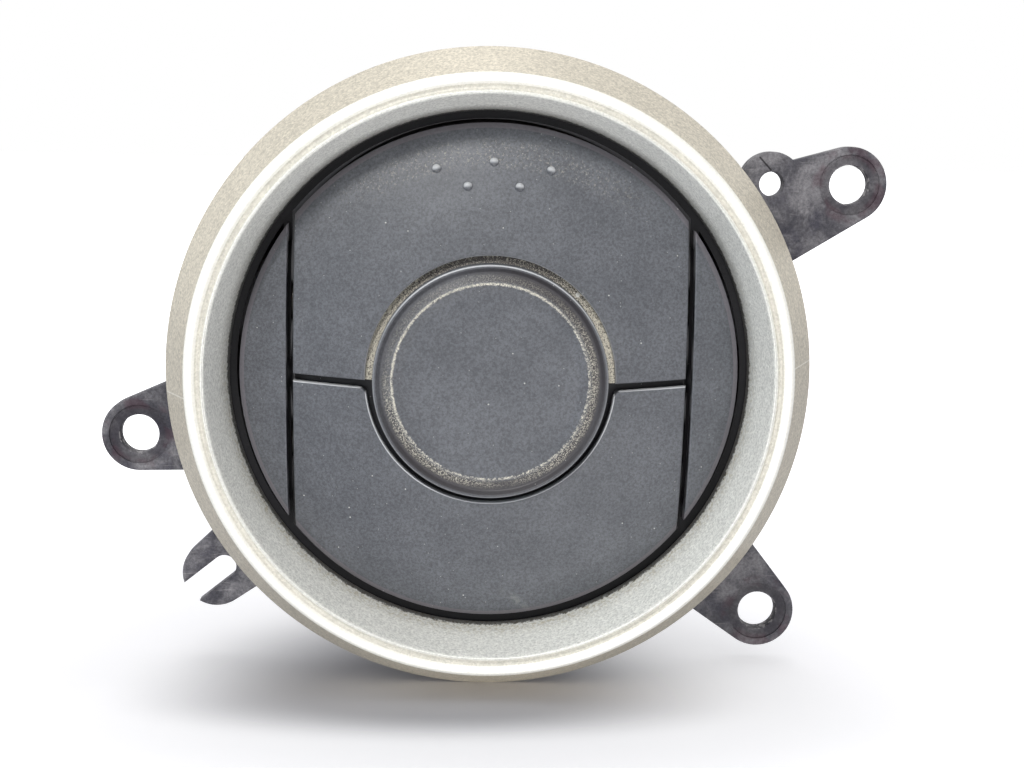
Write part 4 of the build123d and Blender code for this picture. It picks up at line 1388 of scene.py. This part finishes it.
# %% Gussets behind the lugs
GUSSET_WALL, GUSSET_LENGTH, GUSSET_HEIGHT = 1.8, 9.0, 7.5
rear = LUG_DEPTH + LUG_WALL / 2
base_r = HOUSING_R - 1
gusset_outline = [(base_r, rear), (HOUSING_R + GUSSET_LENGTH, rear), (base_r, rear + GUSSET_HEIGHT)]
gusset_angles = {name: values[1] for name, values in LUGS.items()} | {"fork": FORK_ANGLE}
for name, angle in gusset_angles.items():
    rib = plate_piece(
        "gusset_" + name, [("rib", divided(gusset_outline))], lambda s: "rib" in s, lambda u, v: 0 * u,
        lambda u, v: 0 * u + GUSSET_WALL, finishes["black_plastic"], edge=0.2,
        place=lambda u, v, w, angle=angle: (
            polar(u, angle)[0] - polar(w - GUSSET_WALL / 2, angle + 90)[0], v - SHOULDER,
            polar(u, angle)[1] - polar(w - GUSSET_WALL / 2, angle + 90)[1],
        ),
    )
    fitted(rib, "fixed_housing", "black_plastic", "housing")

# %% [markdown]
# ## The duct collar and its screws
# The rear shell takes the air duct. Four screws hold it, through tabs on its flange, into bosses on the
# housing. Tab, boss and screw are each turned once and set round the axis by the same Geometry Nodes tree.

# %% The collar
FLANGE_END, LAND_R, LAND_BORE_R = 35.25, 38.0, 36.0
SPIGOT_R, SPIGOT_BORE_R, SPIGOT_END = 33.0, 31.0, 61.0
collar_section = rounded(
    [
        (LAND_BORE_R, HOUSING_REAR, 0.2), (HOUSING_R, HOUSING_REAR, 0.2), (HOUSING_R, FLANGE_END, 0.5),
        (LAND_R, FLANGE_END, 0.4), (LAND_R, SHOULDER, 0.8), (SPIGOT_R, SHOULDER, 0.5),
        (SPIGOT_R, SPIGOT_END, 0.8), (SPIGOT_BORE_R, SPIGOT_END, 0.3), (SPIGOT_BORE_R, 44.0, 0.5),
        (LAND_BORE_R, 42.0, 0.5),
    ]
)
collar = turned("duct_collar_shell", collar_section, finishes["black_plastic"], 192)
fitted(collar, "fixed_housing", "black_plastic", "duct_collar")

# %% Bosses, tabs and screws round the axis
SCREW_RING_R, SCREW_START, SCREW_COUNT = 46.4, 75, 4
BOSS_START, TAB_R, PILOT_R, CLEAR_R, SHANK_R, SHANK_START = 25.05, 2.9, 1.27, 1.45, 1.25, 26.75


def beside_axis(x, depth, z):
    return (x + SCREW_RING_R, depth - SHOULDER, z)


stub = rounded(
    [
        (PILOT_R, BOSS_START, 0), (TAB_R, BOSS_START, 0.4), (TAB_R, HOUSING_REAR, 0.1),
        (PILOT_R, HOUSING_REAR, 0),
    ]
)
tab = rounded(
    [
        (CLEAR_R, HOUSING_REAR, 0), (TAB_R, HOUSING_REAR, 0.1), (TAB_R, FLANGE_END, 0.4),
        (CLEAR_R, FLANGE_END, 0),
    ]
)
shank = rounded(
    [
        (0, SHANK_START, 0), (0.5, SHANK_START, 0.1), (SHANK_R, 28.2, 0.3), (SHANK_R, FLANGE_END, 0),
        (0, FLANGE_END, 0),
    ]
)
for name, section, slot_name, node in (
    ("screw_bosses", stub, "black_plastic", "housing"),
    ("collar_tabs", tab, "black_plastic", "duct_collar"),
    ("screw_shanks", shank, "zinc_steel", "collar_screws"),
):
    single = lathed(name, section, finishes[slot_name], beside_axis, 32)
    copies = round_axis(single, SCREW_COUNT, SCREW_START, finishes[slot_name])
    fitted(copies, "fixed_housing", slot_name, node)

# %% [markdown]
# ## The screw heads
# Each pan head has a hexagonal socket. The head is turned as the rest is, but the socket's points lie on a
# hexagon: the same section runs round, and only its last points change their radius with the direction.

# %% Pan heads with a hexagonal socket
HEAD_R, SOCKET_R, HEAD_STEPS = 2.5, 0.8, 48
HEAD_END, SOCKET_END = FLANGE_END + 1.8, FLANGE_END + 0.9


def hexagon(radius, angle):
    """The radius of a hexagon's side in a direction."""
    return radius * math.cos(math.pi / 6) / math.cos(angle % (math.pi / 3) - math.pi / 6)


head = rounded(
    [(0, FLANGE_END, 0), (HEAD_R, FLANGE_END, 0.15), (HEAD_R, HEAD_END, 0.8), (SOCKET_R, HEAD_END, 0)]
)
head = [p for p in head if p[0] > SOCKET_R + 0.2 or p[1] < FLANGE_END + 0.5]
section = head + [(SOCKET_R, HEAD_END), (SOCKET_R, SOCKET_END), (0, SOCKET_END)]
verts, faces = [], []
for i in range(HEAD_STEPS):
    angle = 2 * math.pi * i / HEAD_STEPS
    for k, (r, depth) in enumerate(section):
        r = hexagon(r, angle) if k >= len(head) and r else r
        verts.append(beside_axis(r * math.cos(angle), depth, r * math.sin(angle)))
    here, there = i * len(section), (i + 1) % HEAD_STEPS * len(section)
    faces += [(here + k, here + k + 1, there + k + 1, there + k) for k in range(len(section) - 1)]
zinc = finishes["zinc_steel"]
single = solid("screw_heads", verts, faces, zinc)
fitted(round_axis(single, SCREW_COUNT, SCREW_START, zinc), "fixed_housing", "zinc_steel", "collar_screws")

# %% [markdown]
# ## Foam band and felt ring
# A foam band on the collar seals it against the air duct, and a felt ring on the housing's ledge steadies
# the barrel as it turns. Both are plain rings, so the ring tree makes them, with soft corners on the foam.

# %% Foam and felt
seal_section = rounded([(38.3, 36.8, 0.3), (42.8, 36.8, 1.2), (42.8, 43.8, 1.2), (38.3, 43.8, 0.3)])
felt_section = rounded(
    [(39.9, 29.75, 0.3), (42.0, 29.75, 0.3), (42.0, LEDGE_DEPTH, 0.2), (39.9, LEDGE_DEPTH, 0.2)]
)
for name, section, slot_name, node in (
    ("duct_seal_band", seal_section, "foam", "duct_seal"),
    ("friction_felt", felt_section, "felt", "friction_ring"),
):
    fitted(turned(name, section, finishes[slot_name], 192), "fixed_housing", slot_name, node)

# %% [markdown]
# ## The barrel and its linkage
# The barrel's side walls, the bushes, the cranks and the link are moulded shapes with exact fits, so they
# keep the CAD solids' form. A welded copy shades smoothly, with sharp edges where two faces meet at an
# angle.

# %% Smooth copies of the fitted pieces
def smooth_copy(node, name, body, slot_name):
    mesh = frame["nodes"][node].data.copy()
    work = bmesh.new()
    work.from_mesh(mesh)
    bmesh.ops.remove_doubles(work, verts=work.verts, dist=1e-6)
    work.to_mesh(mesh)
    work.free()
    mesh.shade_smooth()
    mesh.set_sharp_from_angle(angle=math.radians(30))
    piece = bpy.data.objects.new(name, mesh)
    scene.collection.objects.link(piece)
    mesh.materials.clear()
    mesh.materials.append(finishes[slot_name])
    fitted(piece, body, slot_name, node)


body_of = {n: b for b, members in frame["record"]["behaviour"]["bodies"].items() for n in members}
slot_of = {s["node"]: s["material_slot"] for s in frame["record"]["subparts"]}
for node in sorted(body_of):
    if slot_of[node] == "acetal" or node == "barrel":
        smooth_copy(node, node + "_skin", body_of[node], slot_of[node])

# %% [markdown]
# ## A white stage with soft light
# The photograph is a plain product shot on white paper. The floor keeps the vent's own shadow, and away
# from it the camera sees the paper lifted to pure white, half of the way near the shadow and all of it
# further out. The vent itself is lit by no more than the sky and the lamps.

# %% The floor
NEAR_LIFT, FAR_LIFT = 0.5, 1.0
NEAR_FROM, NEAR_TO, FAR_FROM, FAR_TO = 18, 55, 60, 220
SHADOW_X, FRONT_REACH = -8, 3
HALF_FLOOR = 4.0
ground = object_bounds()[0][2]
corners = [(x * HALF_FLOOR, y * HALF_FLOOR, ground) for x, y in ((-1, -1), (1, -1), (1, 1), (-1, 1))]
floor_mesh = bpy.data.meshes.new("floor")
floor_mesh.from_pydata(corners, [], [(0, 1, 2, 3)])
floor = bpy.data.objects.new("floor", floor_mesh)
scene.collection.objects.link(floor)
paper = Finish("paper", Roughness=1.0, Specular_IOR_Level=0.0)
paper.shader.inputs["Base Color"].default_value = (0.7, 0.69, 0.71, 1)
view = paper.place.node("ShaderNodeLightPath")
paper.shader.inputs["Emission Strength"].default_value = 1.0
along = maximum(paper.depth, -FRONT_REACH * paper.depth)
away = ((paper.x - SHADOW_X) ** 2 + along * along) ** 0.5
lift = NEAR_LIFT * rise(away, NEAR_FROM, NEAR_TO) + (FAR_LIFT - NEAR_LIFT) * rise(away, FAR_FROM, FAR_TO)
paper.feed(Emission_Color=view * lift)
floor_mesh.materials.append(paper.material)
print("floor at z =", round(ground / MM, 2), "mm")

# %% [markdown]
# ## The sky
# The sky is bright behind the vent and dimmer in front of it, so the outer cone stays pale while the inner
# wall shades. Only the camera and mirror-like rays see it as plain white, which is how the background gets
# its colour without any more light falling on the object.

# %% The sky
SKY_BACK, SKY_FRONT = 1.0, 0.4
world = bpy.data.worlds.new("studio")
scene.world = world
world.use_nodes = True
tree = world.node_tree
start = Signal(tree, None)
direction = start.node("ShaderNodeTexCoord")
ahead = direction.node("ShaderNodeSeparateXYZ", None, {0: direction}, 1)
level = SKY_FRONT + (SKY_BACK - SKY_FRONT) * rise(ahead, -0.5, 0.3)
path = [start.node("ShaderNodeLightPath", None, None, i) for i in (0, 3, 6)]
seen = maximum(*path)
light = tree.nodes["Background"]
light.inputs["Color"].default_value = (0.95, 0.97, 1.0, 1)
tree.links.new(level.socket, light.inputs["Strength"])
white = start.node("ShaderNodeBackground", None, {0: (1, 1, 1, 1), 1: 1.0})
mixed = seen.node("ShaderNodeMixShader", None, {0: seen, 1: Signal(tree, light.outputs[0]), 2: white})
tree.links.new(mixed.socket, tree.nodes["World Output"].inputs["Surface"])
print("sky nodes:", len(tree.nodes))

# %% [markdown]
# ## The lamps
# Four soft lamps stand for the room. One from above draws the shadow on the floor. The key from the upper
# left models the face, a large bounce from below opens the lower wall, and a bluish one stands for the
# window on the left. Those three are linked past the floor, so that they don't draw shadows of their own on
# it.

# %% The lamps
WARM, PLAIN, BLUISH = (1, 0.99, 0.97), (1, 1, 1), (0.82, 0.92, 1)


def lamp(name, place, size, power, colour):
    """A round soft lamp that points at the vent."""
    data = bpy.data.lights.new(name, "AREA")
    data.shape = "DISK"
    data.size = size
    data.energy = power
    data.color = colour
    made = bpy.data.objects.new(name, data)
    scene.collection.objects.link(made)
    aim = -Vector(place)
    made.matrix_world = Matrix.Translation(place) @ aim.to_track_quat("-Z", "Y").to_matrix().to_4x4()
    return made


lamp("top", (-0.05, 0.15, 0.75), 0.4, 0.95, WARM)
key = lamp("key", (-0.18, -0.62, 0.58), 0.16, 4.1, WARM)
bounce = lamp("bounce", (0.1, -0.45, -0.25), 0.5, 1.35, PLAIN)
window = lamp("window", (-0.6, -0.35, 0.12), 0.3, 1.0, BLUISH)
off_floor = bpy.data.collections.new("off_floor")
off_floor.objects.link(floor)
off_floor.collection_objects[0].light_linking.link_state = "EXCLUDE"
for light in (key, bounce, window):
    light.light_linking.receiver_collection = off_floor
bounce.light_linking.blocker_collection = off_floor
scene.view_settings.view_transform = "Standard"
